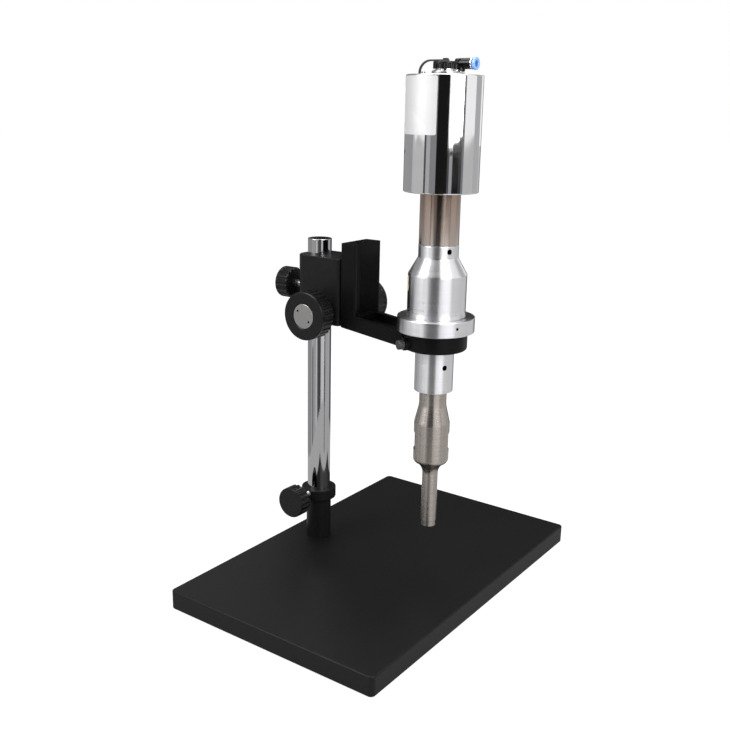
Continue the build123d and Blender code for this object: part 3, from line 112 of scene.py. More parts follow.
def softened(outline, radius, steps=4, closed=True):
    """Outline with each corner rounded: the corner P and the points A, B at the radius before and
    after it give the curve (1-t)^2 A + 2t(1-t) P + t^2 B. A point close outside A and B keeps the
    flat stretches flat. radius is one size, or one for each corner; 0 keeps a corner sharp."""
    corners = np.array(outline, dtype=float)
    sizes = np.broadcast_to(np.asarray(radius, dtype=float), len(corners))
    before = np.roll(corners, 1, axis=0) - corners
    after = np.roll(corners, -1, axis=0) - corners
    length_before = np.linalg.norm(before, axis=1)
    length_after = np.linalg.norm(after, axis=1)
    reach = np.minimum(sizes, 0.45 * np.minimum(length_before, length_after))
    t = np.linspace(0, 1, steps + 1)[:, None]
    rows = []
    for k, corner in enumerate(corners):
        end = not closed and k in (0, len(corners) - 1)
        if end or reach[k] <= 0:
            rows.append(corner[None])
            continue
        way_in = before[k] / length_before[k]
        way_out = after[k] / length_after[k]
        start, stop = corner + way_in * reach[k], corner + way_out * reach[k]
        curve = (1 - t) ** 2 * start + 2 * t * (1 - t) * corner + t ** 2 * stop
        guard = 0.12 * reach[k]
        rows.append(np.vstack([start + way_in * guard, curve, stop + way_out * guard]))
    return np.vstack(rows)


def finer(outline, low, high, step):
    """Outline with points no more than step apart between two heights: each edge is cut where it
    crosses them, and only its part between them is divided."""
    points = [outline[0]]
    for a, b in zip(outline[:-1], outline[1:]):
        rise = b[1] - a[1]
        cuts = [0.0, 1.0]
        if rise:
            cuts += [share for share in ((low - a[1]) / rise, (high - a[1]) / rise) if 0 < share < 1]
        cuts.sort()
        for first, last in zip(cuts[:-1], cuts[1:]):
            inside = low < a[1] + rise * (first + last) / 2 < high
            length = np.linalg.norm(b - a) * (last - first)
            count = max(1, int(np.ceil(length / step))) if inside else 1
            points.extend(a + (b - a) * (first + (last - first) * k / count) for k in range(1, count + 1))
    return np.array(points)


def round_angles(count, finer_at=(), half=0.0, step=1.0):
    """Angles of a full turn in degrees: count even ones, and closer ones near each given angle."""
    angles = np.arange(count) * 360.0 / count
    for middle in finer_at:
        away = (angles - middle + 180) % 360 - 180
        angles = angles[np.abs(away) > half]
        angles = np.append(angles, (middle + np.arange(-half, half + step / 2, step)) % 360)
    return np.unique(np.round(angles, 5))


def lathe(outline, angles, swell=None):
    """Grid of the surface of revolution of (r, z) about Z: (r cos a, r sin a, z) for each angle a.
    swell(a, r, z), where given, is added to r."""
    a = np.radians(angles)[None, :]
    r = outline[:, 0][:, None] * np.ones_like(a)
    z = outline[:, 1][:, None] * np.ones_like(a)
    if swell is not None:
        r = r + swell(a, r, z)
    return np.stack([r * np.cos(a), r * np.sin(a), z], axis=-1)


def set_on(grid, origin, out=(0, 0, 1)):
    """Grid turned so that its Z points along out, then moved to origin."""
    w = np.array(out, dtype=float)
    w /= np.linalg.norm(w)
    side = np.array([0.0, 0.0, 1.0]) if abs(w[2]) < 0.9 else np.array([1.0, 0.0, 0.0])
    if w[2] > 0.9:
        return grid + np.array(origin)
    u = np.cross(side, w)
    u /= np.linalg.norm(u)
    v = np.cross(w, u)
    return grid[..., :1] * u + grid[..., 1:2] * v + grid[..., 2:] * w + np.array(origin)


def drill(grid, at, out, radius, depth, reach=1.2):
    """Round blind hole: points within the radius of the line from `at` along `out` sink by depth,
    points near the rim are drawn on to the circle, and the next ones stand just inside it."""
    out = np.array(out, dtype=float)
    offset = grid - np.array(at)
    height = offset @ out
    flat = offset - height[..., None] * out
    far = np.maximum(np.linalg.norm(flat, axis=-1), 1e-9)
    here = np.abs(height) < reach
    step = 0.19 * radius
    rim = here & (np.abs(far - radius) < step / 2)
    ring = here & (far <= radius - step / 2) & (far > radius - 1.5 * step)
    hole = here & (far <= radius - step / 2)
    scale = np.where(rim, radius / far, np.where(ring, 0.97 * radius / far, 1.0))
    moved = np.array(at) + flat * scale[..., None] + (height - depth * hole)[..., None] * out
    return np.where((rim | hole)[..., None], moved, grid)


def mill(grid, angle, reach, low, high, x=PROBE_X):
    """Two opposite flats: between two heights, the distance along the angle is held to reach."""
    way = np.array([cos(radians(angle)), sin(radians(angle)), 0.0])
    along = (grid - np.array([x, 0, 0])) @ way
    cut = (grid[..., 2] > low) & (grid[..., 2] < high) & (np.abs(along) > reach)
    excess = np.where(cut, along - np.sign(along) * reach, 0.0)
    return grid - excess[..., None] * way


def on_cylinder(angle, radius, height, x=PROBE_X):
    """Point on an upright cylinder, and the way out of it."""
    c, s = cos(radians(angle)), sin(radians(angle))
    return (x + radius * c, radius * s, height), (c, s, 0.0)


def flutes(count, radius, from_z, to_z, depth_share=0.36):
    """Scooped flutes between two heights: each is the arc of a circle of radius s whose middle lies
    at R + 0.45 s, so r = (R + 0.45 s) cos a - sqrt(s^2 - (R + 0.45 s)^2 sin^2 a)."""
    scoop = depth_share * 2 * pi * radius / count
    centre = radius + 0.45 * scoop

    def swell(a, r, z):
        pitch = 2 * pi / count
        away = (a + pitch / 2) % pitch - pitch / 2
        under = scoop ** 2 - (centre * np.sin(away)) ** 2
        floor = centre * np.cos(away) - np.sqrt(np.maximum(under, 0.0))
        floor = np.where(under > 0, np.minimum(floor, radius), radius)
        fade = np.clip((z - from_z) / 0.5 + 0.5, 0, 1) * np.clip((to_z - z) / 1.2 + 0.5, 0, 1)
        near_wall = np.clip((r - radius + 2.0) / 1.5, 0, 1)
        return (floor - radius) * fade * near_wall

    return swell


def joined(name, pieces):
    """One piece from several grids; each is (grid, closed)."""
    parts = [surface(f"{name}_{k}", grid, closed) for k, (grid, closed) in enumerate(pieces)]
    work = bmesh.new()
    for part in parts:
        work.from_mesh(part.data)
        mesh = part.data
        bpy.data.objects.remove(part)
        bpy.data.meshes.remove(mesh)
    mesh = bpy.data.meshes.new(name)
    work.to_mesh(mesh)
    work.free()
    return finished_object(name, mesh)


def cad_copy(name, node, edge=0.45, sharp=30, edge_slot=-1):
    """Copy of a CAD node's mesh with its loose triangles merged, flat areas joined, and a small
    rounded edge of that size in millimetres; edge_slot is the material slot of that edge."""
    mesh = frame["nodes"][node].data.copy()
    mesh.name = name
    work = bmesh.new()
    work.from_mesh(mesh)
    bmesh.ops.remove_doubles(work, verts=work.verts, dist=2e-6)
    bmesh.ops.dissolve_degenerate(work, edges=work.edges, dist=1e-6)
    bmesh.ops.dissolve_limit(work, angle_limit=radians(0.6), verts=work.verts, edges=work.edges)
    work.to_mesh(mesh)
    work.free()
    mesh.materials.clear()
    mesh.polygons.foreach_set("use_smooth", np.ones(len(mesh.polygons), dtype=bool))
    mesh.set_sharp_from_angle(angle=radians(sharp))
    piece = bpy.data.objects.new(name, mesh)
    bpy.context.scene.collection.objects.link(piece)
    if edge:
        bevel = piece.modifiers.new("edge", "BEVEL")
        bevel.width = edge * MM
        bevel.segments = 2
        bevel.limit_method = "ANGLE"
        bevel.angle_limit = radians(45)
        bevel.miter_outer = "MITER_ARC"
        bevel.use_clamp_overlap = True
        bevel.material = edge_slot
    flat = piece.modifiers.new("flat", "WEIGHTED_NORMAL")
    flat.keep_sharp = True
    return piece


# Finishes

def finish(name, dark, light, rough, metallic=0.0, size=2.0, stretch=(1, 1, 1), bump=0.1, fine=0.35,
           coat=0.0, specular=0.5, lathed=0.0):
    """Node material. A noise of `size` millimetres, stretched along the axes, mixes two tones and two
    roughnesses; a finer noise of `fine` millimetres gives the bump its grain. Where lathed is above 0,
    reflections smear up and down, as the fine rings of a turned surface make them."""
    material = bpy.data.materials.new(name)
    material.use_nodes = True
    nodes, links = material.node_tree.nodes, material.node_tree.links
    shader = nodes["Principled BSDF"]
    shader.inputs["Metallic"].default_value = metallic
    shader.inputs["Specular IOR Level"].default_value = specular
    shader.inputs["Coat Weight"].default_value = coat
    shader.inputs["Coat Roughness"].default_value = 0.12
    where = nodes.new("ShaderNodeTexCoord")
    pattern = nodes.new("ShaderNodeMapping")
    pattern.inputs["Scale"].default_value = [s / (size * MM) for s in stretch]
    links.new(where.outputs["Object"], pattern.inputs["Vector"])
    cloud = nodes.new("ShaderNodeTexNoise")
    cloud.inputs["Scale"].default_value = 1.0
    cloud.inputs["Detail"].default_value = 4.0
    links.new(pattern.outputs["Vector"], cloud.inputs["Vector"])
    tone = nodes.new("ShaderNodeMix")
    tone.data_type = "RGBA"
    tone.inputs["A"].default_value = (*dark, 1)
    tone.inputs["B"].default_value = (*light, 1)
    links.new(cloud.outputs["Fac"], tone.inputs["Factor"])
    links.new(tone.outputs["Result"], shader.inputs["Base Color"])
    sheen = nodes.new("ShaderNodeMapRange")
    sheen.inputs["From Min"].default_value = 0.3
    sheen.inputs["From Max"].default_value = 0.7
    sheen.inputs["To Min"].default_value = rough[0]
    sheen.inputs["To Max"].default_value = rough[1]
    links.new(cloud.outputs["Fac"], sheen.inputs["Value"])
    links.new(sheen.outputs["Result"], shader.inputs["Roughness"])
    grain_map = nodes.new("ShaderNodeMapping")
    grain_map.inputs["Scale"].default_value = [s / (fine * MM) for s in stretch]
    links.new(where.outputs["Object"], grain_map.inputs["Vector"])
    grain = nodes.new("ShaderNodeTexNoise")
    grain.inputs["Scale"].default_value = 1.0
    grain.inputs["Detail"].default_value = 2.0
    links.new(grain_map.outputs["Vector"], grain.inputs["Vector"])
    relief = nodes.new("ShaderNodeBump")
    relief.inputs["Strength"].default_value = bump
    relief.inputs["Distance"].default_value = 0.05 * MM
    links.new(grain.outputs["Fac"], relief.inputs["Height"])
    links.new(relief.outputs["Normal"], shader.inputs["Normal"])
    if lathed:
        shader.inputs["Anisotropic"].default_value = lathed
        shader.inputs["Anisotropic Rotation"].default_value = 0.25
        round_axis = nodes.new("ShaderNodeTangent")
        round_axis.direction_type = "RADIAL"
        round_axis.axis = "Z"
        links.new(round_axis.outputs["Tangent"], shader.inputs["Tangent"])
    return material


def heat_tint(material, low, high, tones):
    """Colour that runs with height between two levels in millimetres, mixed over the finish's own tone."""
    nodes, links = material.node_tree.nodes, material.node_tree.links
    shader = nodes["Principled BSDF"]
    own = shader.inputs["Base Color"].links[0].from_socket
    where = nodes.new("ShaderNodeTexCoord")
    split = nodes.new("ShaderNodeSeparateXYZ")
    links.new(where.outputs["Object"], split.inputs["Vector"])
    level = nodes.new("ShaderNodeMapRange")
    level.inputs["From Min"].default_value = low * MM
    level.inputs["From Max"].default_value = high * MM
    links.new(split.outputs["Z"], level.inputs["Value"])
    ramp = nodes.new("ShaderNodeValToRGB")
    for k, (place, tone) in enumerate(tones):
        stop = ramp.color_ramp.elements[k] if k < 2 else ramp.color_ramp.elements.new(place)
        stop.position = place
        stop.color = (*tone, 1)
    links.new(level.outputs["Result"], ramp.inputs["Fac"])
    blend = nodes.new("ShaderNodeMix")
    blend.data_type = "RGBA"
    blend.blend_type = "MULTIPLY"
    blend.inputs["Factor"].default_value = 1.0
    links.new(own, blend.inputs["A"])
    links.new(ramp.outputs["Color"], blend.inputs["B"])
    links.new(blend.outputs["Result"], shader.inputs["Base Color"])
    return material


TURNED = (0.02, 0.02, 1)
FINISHES = {
    "black_coat": finish("black_coat", (0.004, 0.004, 0.0044), (0.008, 0.008, 0.0085), (0.36, 0.46),
                         size=3.0, bump=0.25, fine=0.5, specular=0.15),
    "arm_coat": finish("arm_coat", (0.002, 0.002, 0.0022), (0.004, 0.004, 0.0044), (0.28, 0.36), size=3.0,
                       bump=0.15, fine=0.5, specular=0.10),
    # Lighter grey on the arm's bevelled edges: a painted highlight standing in for the glints on its rounded
    # edges.
    "painted_edge_highlight": finish("painted_edge_highlight", (0.09, 0.09, 0.092), (0.20, 0.20, 0.205), (0.22, 0.34),
                        size=3.0, bump=0.1, fine=0.5, specular=0.6),
    "post_chrome": finish("post_chrome", (0.50, 0.50, 0.505), (0.55, 0.55, 0.555), (0.03, 0.08), metallic=1,
                          size=12.0, bump=0.02, fine=1.5),
    "chrome": finish("chrome", (0.80, 0.80, 0.81), (0.86, 0.86, 0.87), (0.03, 0.08), metallic=1,
                     size=12.0, bump=0.02, fine=1.5),
    "aluminium": finish("aluminium", (0.76, 0.76, 0.77), (0.84, 0.84, 0.85), (0.27, 0.34), metallic=1,
                        size=1.6, stretch=TURNED, bump=0.02, fine=0.8, lathed=0.8),
    "titanium": finish("titanium", (0.42, 0.38, 0.345), (0.49, 0.445, 0.405), (0.24, 0.31), metallic=1,
                       size=1.8, stretch=TURNED, bump=0.006, fine=0.8, lathed=0.8),
    "heat_tinted": heat_tint(
        finish("heat_tinted", (0.74, 0.70, 0.67), (0.78, 0.73, 0.69), (0.17, 0.22), metallic=1,
               size=14.0, stretch=(1, 1, 0.35), bump=0.01, fine=2.0, lathed=0.6),
        362.5, 411.5, [(0.0, (0.80, 0.74, 0.70)), (1.0, (0.55, 0.43, 0.36)), (0.45, (0.72, 0.62, 0.55))]),
    "bright_steel": finish("bright_steel", (0.55, 0.55, 0.56), (0.68, 0.68, 0.69), (0.18, 0.3), metallic=1,
                           size=1.5, bump=0.1),
    "satin_cap": finish("satin_cap", (0.34, 0.325, 0.32), (0.42, 0.405, 0.40), (0.30, 0.42), metallic=1,
                        size=1.0, bump=0.15),
    "dark_steel": finish("dark_steel", (0.05, 0.05, 0.055), (0.08, 0.08, 0.085), (0.3, 0.45), metallic=0.7,
                         size=1.5, bump=0.15),
    "nickel": finish("nickel", (0.72, 0.70, 0.66), (0.80, 0.78, 0.74), (0.08, 0.16), metallic=1, size=2.0,
                     bump=0.05),
    "brass": finish("brass", (0.55, 0.40, 0.17), (0.68, 0.50, 0.24), (0.2, 0.32), metallic=1, size=1.5,
                    bump=0.1),
    "rubber": finish("rubber", (0.012, 0.012, 0.012), (0.022, 0.022, 0.022), (0.6, 0.75), size=1.2, bump=0.3),
    "black_plastic": finish("black_plastic", (0.003, 0.003, 0.0033), (0.006, 0.006, 0.0065), (0.20, 0.28),
                            size=2.5, bump=0.08, fine=0.5, specular=0.22),
    "blue_plastic": finish("blue_plastic", (0.16, 0.33, 0.80), (0.22, 0.40, 0.86), (0.2, 0.3), size=2.0,
                           bump=0.08, coat=0.3),
    "insulator": finish("insulator", (0.74, 0.74, 0.70), (0.82, 0.82, 0.78), (0.35, 0.5), size=2.0, bump=0.1),
    "ceramic": finish("ceramic", (0.42, 0.39, 0.33), (0.55, 0.52, 0.45), (0.45, 0.6), size=1.0, bump=0.2),
    "foil": finish("foil", (0.60, 0.60, 0.60), (0.68, 0.68, 0.68), (0.38, 0.5), metallic=0.55, size=0.7,
                   bump=0.15, fine=0.25),
    # Near-black for the walls inside drilled holes: painted shade.
    "painted_hole_shade": finish("painted_hole_shade", (0.004, 0.004, 0.004), (0.008, 0.008, 0.008), (0.6, 0.7), size=1.0,
                        bump=0.1, specular=0.1),
    "cream_foil": finish("cream_foil", (0.62, 0.56, 0.42), (0.72, 0.66, 0.52), (0.4, 0.55), size=1.0,
                         bump=0.1),
}


def dress(piece, *nodes, look=""):
    """The piece stands for these CAD nodes: it rides on their body and takes their slot, and its finish
    unless a look is named."""
    slot = SLOT_OF[nodes[0]]
    piece.data.materials.clear()
    piece.data.materials.append(FINISHES[look or slot])
    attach(piece, BODY_OF[nodes[0]])
    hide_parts(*nodes)
    return piece


def shade_holes(piece, holes, start=0.6):
    """Painted shade for the faces inside drilled holes: a dull near-black finish in place of the shade that
    falls there.
    Each hole is a point on its mouth, its way out and its radius."""
    mesh = piece.data
    # Second slot: near-black painted shade on the faces inside the holes.
    mesh.materials.append(FINISHES["painted_hole_shade"])
    middles = np.empty(3 * len(mesh.polygons))
    mesh.polygons.foreach_get("center", middles)
    middles = middles.reshape(-1, 3) / MM
    inside = np.zeros(len(middles), dtype=bool)
    for at, out, radius in holes:
        out = np.array(out, dtype=float)
        offset = middles - np.array(at)
        height = offset @ out
        far = np.linalg.norm(offset - height[:, None] * out, axis=1)
        inside |= (far < radius + 0.1) & (height < -start) & (height > -10)
    mesh.polygons.foreach_set("material_index", inside.astype(np.int32))


def paint_cad_nodes():
    """Every CAD node gets the finish of its slot."""
    for node, piece in frame["nodes"].items():
        for place in piece.material_slots:
            place.material = FINISHES[SLOT_OF[node]]


# Stand

def build_base():
    """Slab with its rounded edges, and the turned socket with its thick collar."""
    dress(cad_copy("slab", "base_plate", edge=0), "base_plate")
    low, high = cad_span("post_socket")
    foot, top = low[2], high[2]
    collar_r, sleeve_r = 18.85, 13.55
    bore, floor = 12.55, 31.0
    collar_foot, flare = top - 11.5, 2.0
    corners = [(0, foot), (sleeve_r, foot), (sleeve_r, collar_foot - flare),
               (sleeve_r + flare, collar_foot), (collar_r, collar_foot), (collar_r, top), (bore, top),
               (bore, floor), (0, floor)]
    outline = softened(corners, [0, 0.2, 1.2, 0.5, 0.7, 0.7, 0.2, 0.2, 0], closed=False)
    grid = lathe(outline, round_angles(120))
    dress(surface("socket", set_on(grid, (POST_X, 0, 0))), "post_socket")


def build_post():
    """Tube with rounded mouth, and its pressed plug with a shallow crown."""
    low, high = cad_span("post")
    radius = (high[0] - low[0]) / 2
    foot, top = low[2], high[2]
    wall, plug_deep = 1.5, 12.0
    bore = radius - wall
    outline = softened([(radius, foot), (radius, top), (bore, top), (bore, foot)], [0.2, 0.7, 0.2, 0.2])
    grid = set_on(lathe(outline, round_angles(144)), (POST_X, 0, 0))
    dress(surface("post_tube", grid, closed=True), "post", look="post_chrome")
    share = np.linspace(1, 0, 9)
    crown_r, crown_foot, crown_rise = bore - 0.5, top + 0.15, 0.25
    crown = np.stack([crown_r * share, crown_foot + crown_rise * (1 - share ** 2)], axis=1)
    plug_r, plug_foot = bore - 0.02, top - plug_deep
    rim = np.array([(0, plug_foot), (bore - 1, plug_foot), (plug_r, plug_foot + 1), (plug_r, top - 0.1)])
    grid = lathe(np.vstack([rim, crown]), round_angles(72))
    dress(surface("post_end_plug", set_on(grid, (POST_X, 0, 0))), "post_plug")


def knob_outline(radius, length, bore, face_bore=None, recess=0.0):
    """Outline of a knob on z = 0 that ends in a plain rim; face_bore and recess sink its outer face."""
    mouth = face_bore or bore
    corners = [(bore, 0), (radius - 1.2, 0), (radius, 1.0), (radius, length)]
    sizes = [0.2, 0.5, 0.5, 1.2]
    if recess:
        bevel, floor = 0.9, length - recess
        corners += [(mouth + bevel, length), (mouth, length - bevel), (mouth, floor), (bore, floor)]
        sizes += [0.4, 0.3, 0.2, 0.2]
    else:
        corners += [(bore, length)]
        sizes += [0.2]
    return softened(corners, sizes)


def build_focus_knobs():
    """Fluted knobs, their lock caps with two pin holes, and the drag collars behind them."""
    radius, length, face = 24.5, 19.5, 56.5
    cap_r, cap_thick = 12.5, 3.0
    pin_r, pin_reach, pin_angle = 1.1, 8.5, 145.0
    flute_count, rim, shaft_bore = 28, 4.0, 4.05
    outline = knob_outline(radius, length, shaft_bore, cap_r + 0.05, cap_thick)
    outline = finer(outline, length - rim - 1.5, length - rim + 1.5, 0.3)
    grid = lathe(outline, round_angles(flute_count * 12), flutes(flute_count, radius, -1.0, length - rim))
    for side, node in ((-1, "near_focus_knob"), (1, "far_focus_knob")):
        placed = set_on(grid, (PINION_X, side * (face - length), PINION_Z), (0, side, 0))
        dress(surface(f"{node}_grip", placed, closed=True), node)

    ends = [(0, 0), (cap_r, 0), (cap_r, cap_thick), (0, cap_thick)]
    outline = softened(ends, [0, 0.2, 0.5, 0], closed=False)
    ring_count = 47
    face_rings = np.stack([np.linspace(cap_r - 1, 0, ring_count), np.full(ring_count, cap_thick)], axis=1)
    disc = lathe(np.vstack([outline[:-1], face_rings]), round_angles(216))
    turns = np.radians([pin_angle, pin_angle + 180])
    pins = np.stack([pin_reach * np.cos(turns), pin_reach * np.sin(turns), np.full(2, cap_thick)], axis=1)
    for at in pins:
        disc = drill(disc, at, (0, 0, 1), pin_r, 1.8, reach=0.5)
    caps, holes = [], []
    for side in (-1, 1):
        origin, out = (PINION_X, side * (face - cap_thick), PINION_Z), (0, side, 0)
        caps.append((set_on(disc, origin, out), False))
        holes += [(at, out, pin_r) for at in set_on(pins, origin, out)]
    shade_holes(dress(joined("lock_caps", caps), "knob_lock_caps"), holes, start=0.3)

    collar_r, start, end = 12.5, 22.3, face - length
    corners = [(shaft_bore, start), (collar_r, start), (collar_r, end), (shaft_bore, end)]
    outline = softened(corners, [0.2, 0.7, 0.7, 0.2])
    ring = lathe(outline, round_angles(96))
    collars = [(set_on(ring, (PINION_X, 0, PINION_Z), (0, side, 0)), True) for side in (-1, 1)]
    dress(joined("drag_rings", collars), "drag_collars")


def build_clamp_knobs():
    """Fluted clamp knobs of the socket and of the block."""
    radius, length, count, stud_bore = 16.5, 15.0, 18, 3.95
    outline = finer(knob_outline(radius, length, stud_bore), length - 3.2, length - 0.2, 0.3)
    solid = np.vstack([[(0, 0)], outline[outline[:, 0] > stud_bore + 0.01], [(0, length)]])
    grid = lathe(solid, round_angles(count * 12), flutes(count, radius, -1.0, length - 1.6))
    places = {
        "socket_clamp_knob": ((POST_X, -34.0, 74.5), (0, -1, 0)),
        "block_clamp_knob": ((POST_X - 33.0, 0, 304.0), (-1, 0, 0)),
    }
    for node, (origin, out) in places.items():
        dress(surface(f"{node}_grip", set_on(grid, origin, out)), node)


def build_carriage():
    """Focus block and arm casting with softened edges; the arm's bevels get a lighter grey, a painted
    highlight.
    """
    dress(cad_copy("block_body", "focus_block", edge=0.5), "focus_block")
    arm = cad_copy("arm_body", "arm_casting", edge=0.6, edge_slot=1)
    dress(arm, "arm_casting", look="arm_coat")
    # The arm's bevels take slot 1: lighter grey as a painted edge highlight.
    arm.data.materials.append(FINISHES["painted_edge_highlight"])


# Probe

def build_carry_ring():
    """Carrying ring with three key holes, and the ring nut with its spigot."""
    low, high = cad_span("carry_ring")
    radius = (high[0] - low[0]) / 2
    foot, top = low[2], high[2]
    hole_r, hole_z = 1.4, foot + 8.5
    seat_r, lip_r, lip_foot = 32.0, 29.4, top - 4.5
    corners = [(seat_r, foot), (radius, foot), (radius, top), (lip_r, top), (lip_r, lip_foot),
               (seat_r, lip_foot)]
    outline = softened(corners, [0.1, 0.7, 0.9, 0.3, 0.1, 0.1])
    outline = finer(np.vstack([outline, outline[:1]]), hole_z - 2, hole_z + 2, 0.26)[:-1]
    turns = [SPANNER_ANGLE + t for t in (0, 120, 240)]
    grid = set_on(lathe(outline, round_angles(144, turns, 3.2, 0.4)), (PROBE_X, 0, 0))
    places = [on_cylinder(turn, radius, hole_z) for turn in turns]
    for at, out in places:
        grid = drill(grid, at, out, hole_r, 3.5)
    ring = dress(surface("carrying_ring", grid, closed=True), "carry_ring")
    shade_holes(ring, [(at, out, hole_r) for at, out in places])
    nut_foot, nut_top = (corner[2] for corner in cad_span("carry_nut"))
    nut_bore, spigot_r = 20.0, 24.0
    corners = [(nut_bore, nut_foot), (spigot_r, nut_foot), (spigot_r, foot), (seat_r, foot),
               (seat_r, nut_top), (nut_bore, nut_top)]
    outline = softened(corners, [0.3, 1.0, 0.1, 0.1, 0.1, 0.3])
    grid = set_on(lathe(outline, round_angles(120)), (PROBE_X, 0, 0))
    dress(surface("ring_nut", grid, closed=True), "carry_nut")


def build_booster():
    """Booster turned with neck, cone, thick body and slim lower half; two spanner holes at each end."""
    low, high = cad_span("booster")
    foot, top = low[2], high[2]
    slim_r, body_r, neck_r, node_r = 19.0, 28.4, 19.3, 31.3
    flange_low, flange_top = 284.5, 287.5
    cone_low, cone_top = 334.5, 350.5
    hole_r, low_hole, high_hole = 2.5, 245.0, 357.5
    corners = [(0, foot), (slim_r, foot), (slim_r, flange_low - 1.2), (slim_r + 1.2, flange_low),
               (node_r, flange_low), (node_r, flange_top), (body_r, flange_top), (body_r, cone_low),
               (neck_r, cone_top), (neck_r, top), (0, top)]
    outline = softened(corners, [0, 0.7, 0, 0, 0.2, 0.2, 0, 0.8, 0.8, 0.7, 0], closed=False)
    outline = finer(outline, low_hole - 3.5, low_hole + 3.5, 0.45)
    outline = finer(outline, high_hole - 3.5, high_hole + 3.5, 0.45)
    turns = [SPANNER_ANGLE, SPANNER_ANGLE + 180]
    grid = set_on(lathe(outline, round_angles(160, turns, 10.8, 1.35)), (PROBE_X, 0, 0))
    places = [on_cylinder(turn, r, z) for turn in turns for r, z in ((slim_r, low_hole), (neck_r, high_hole))]
    for at, out in places:
        grid = drill(grid, at, out, hole_r, 7.5)
    body = dress(surface("booster_body", grid), "booster")
    shade_holes(body, [(at, out, hole_r) for at, out in places])


def horn_outline():
    """Horn from its shank up: the swept root is an arc that leaves the shank tangentially and meets
    the rounded shoulder at the same slope; then body, cone and neck."""
    shank_r, body_r, neck_r = 7.9, HORN_BODY_R, 13.5
    foot, shoulder_z, cone_low, cone_top, top = HORN_FOOT_Z, 147.0, 185.0, 203.5, 218.5
    shoulder_r, turn = 5.0, radians(62.0)
    drop = 1 - cos(turn)
    mid_r = body_r - shoulder_r * drop
    mid_z = shoulder_z - shoulder_r * sin(turn)
    sweep_r = (mid_r - shank_r) / drop
    low_z = mid_z - sweep_r * sin(turn)
    a = np.linspace(0, turn, 15)
    hollow = np.stack([shank_r + sweep_r * (1 - np.cos(a)), low_z + sweep_r * np.sin(a)], axis=1)
    b = np.linspace(turn, 0, 9)[1:]
    bulge = np.stack([body_r - shoulder_r * (1 - np.cos(b)), shoulder_z - shoulder_r * np.sin(b)], axis=1)
    shank = np.array([(0, foot), (shank_r - 0.3, foot), (shank_r, foot + 0.3), (shank_r, foot + 0.6),
                      (shank_r, low_z - 1)])
    corners = [(body_r, shoulder_z + 1), (body_r, cone_low), (neck_r, cone_top), (neck_r, top), (0, top)]
    upper = softened(corners, [0, 0.9, 2.5, 0.6, 0], closed=False)
    return np.vstack([shank, hollow, bulge, upper])


def build_horn():
    """Horn with two wrench flats, and the screwed-in tip with two small flats."""
    flat_low, flat_high, flat_angle, flat_reach = 156.7, 174.7, 35.0, 16.5
    beside = 0.01
    outline = horn_outline()
    edge_rows = [z + away for z in (flat_low, flat_high) for away in (-beside, beside)]
    at = int(np.argmax(outline[:, 1] > flat_low))
    outline = np.vstack([outline[:at], [(HORN_BODY_R, z) for z in edge_rows], outline[at:]])
    grid = set_on(lathe(outline, round_angles(180)), (PROBE_X, 0, 0))
    grid = mill(grid, flat_angle, flat_reach, flat_low, flat_high)
    dress(surface("horn_body", grid), "horn")

    tip_r, tip_bevel, tip_reach, spigot_r, spigot_long = 7.7, 0.4, 6.9, 3.0, 9.0
    low, high = 73.7, HORN_FOOT_Z
    flat_low, flat_high = low + 1.4, high - 0.6
    edge_rows = [z + away for z in (flat_low, flat_high) for away in (-beside, beside)]
    rows = [(0, low), (tip_r - tip_bevel, low), (tip_r, low + tip_bevel)]
    rows += [(tip_r, z) for z in edge_rows]
    rows += [(tip_r, high), (spigot_r, high), (spigot_r, high + spigot_long), (0, high + spigot_long)]
    grid = set_on(lathe(np.array(rows), round_angles(120)), (PROBE_X, 0, 0))
    grid = mill(grid, flat_angle, tip_reach, flat_low, flat_high)
    dress(surface("working_tip", grid), "horn_tip")


def build_transducer():
    """Chromed can, its foot ring, and the front driver that comes out of it."""
    low, high = cad_span("transducer_housing")
    radius = (high[0] - low[0]) / 2
    foot, top = low[2], high[2]
    wall, roof = 3.0, 6.0
    corners = [(radius - wall, foot), (radius, foot), (radius, top), (0, top), (0, top - roof),
               (radius - wall, top - roof)]
    outline = softened(corners, [0.3, 1.1, 1.3, 0, 0, 0])
    screw_r, screw_deep, screw_z = 2.05, 2.6, foot + 36.5
    outline = finer(np.vstack([outline, outline[:1]]), screw_z - 3, screw_z + 3, 0.37)[:-1]
    turns = [-46.0 + 90 * k for k in range(4)]
    grid = set_on(lathe(outline, round_angles(180, turns, 4.8, 0.6)), (PROBE_X, 0, 0))
    places = [on_cylinder(turn, radius, screw_z) for turn in turns]
    for at, out in places:
        grid = drill(grid, at, out, screw_r, screw_deep)
    can = dress(surface("chromed_can", grid, closed=True), "transducer_housing")
    shade_holes(can, [(at, out, screw_r) for at, out in places])

    ring_bore, ring_top = 20.1, foot + 5
    corners = [(ring_bore, foot), (radius - wall, foot), (radius - wall, ring_top), (ring_bore, ring_top)]
    grid = set_on(lathe(softened(corners, 0.4), round_angles(120)), (PROBE_X, 0, 0))
    dress(surface("foot_ring", grid, closed=True), "housing_base")

    drive_low = cad_span("front_mass")[0][2]
    drive_r, head_r, flange_r, flare = 19.1, 22.5, 29.0, 2.0
    flange_low, flange_top, head_top = 435.0, 439.0, 446.0
    corners = [(0, drive_low), (drive_r, drive_low), (drive_r, flange_low - flare),
               (drive_r + flare, flange_low), (flange_r, flange_low), (flange_r, flange_top),
               (head_r, flange_top), (head_r, head_top), (0, head_top)]
    outline = softened(corners, [0, 0.6, 0, 0, 0.3, 0.3, 0.2, 0.3, 0], closed=False)
    grid = set_on(lathe(outline, round_angles(144)), (PROBE_X, 0, 0))
    dress(surface("front_driver", grid), "front_mass")


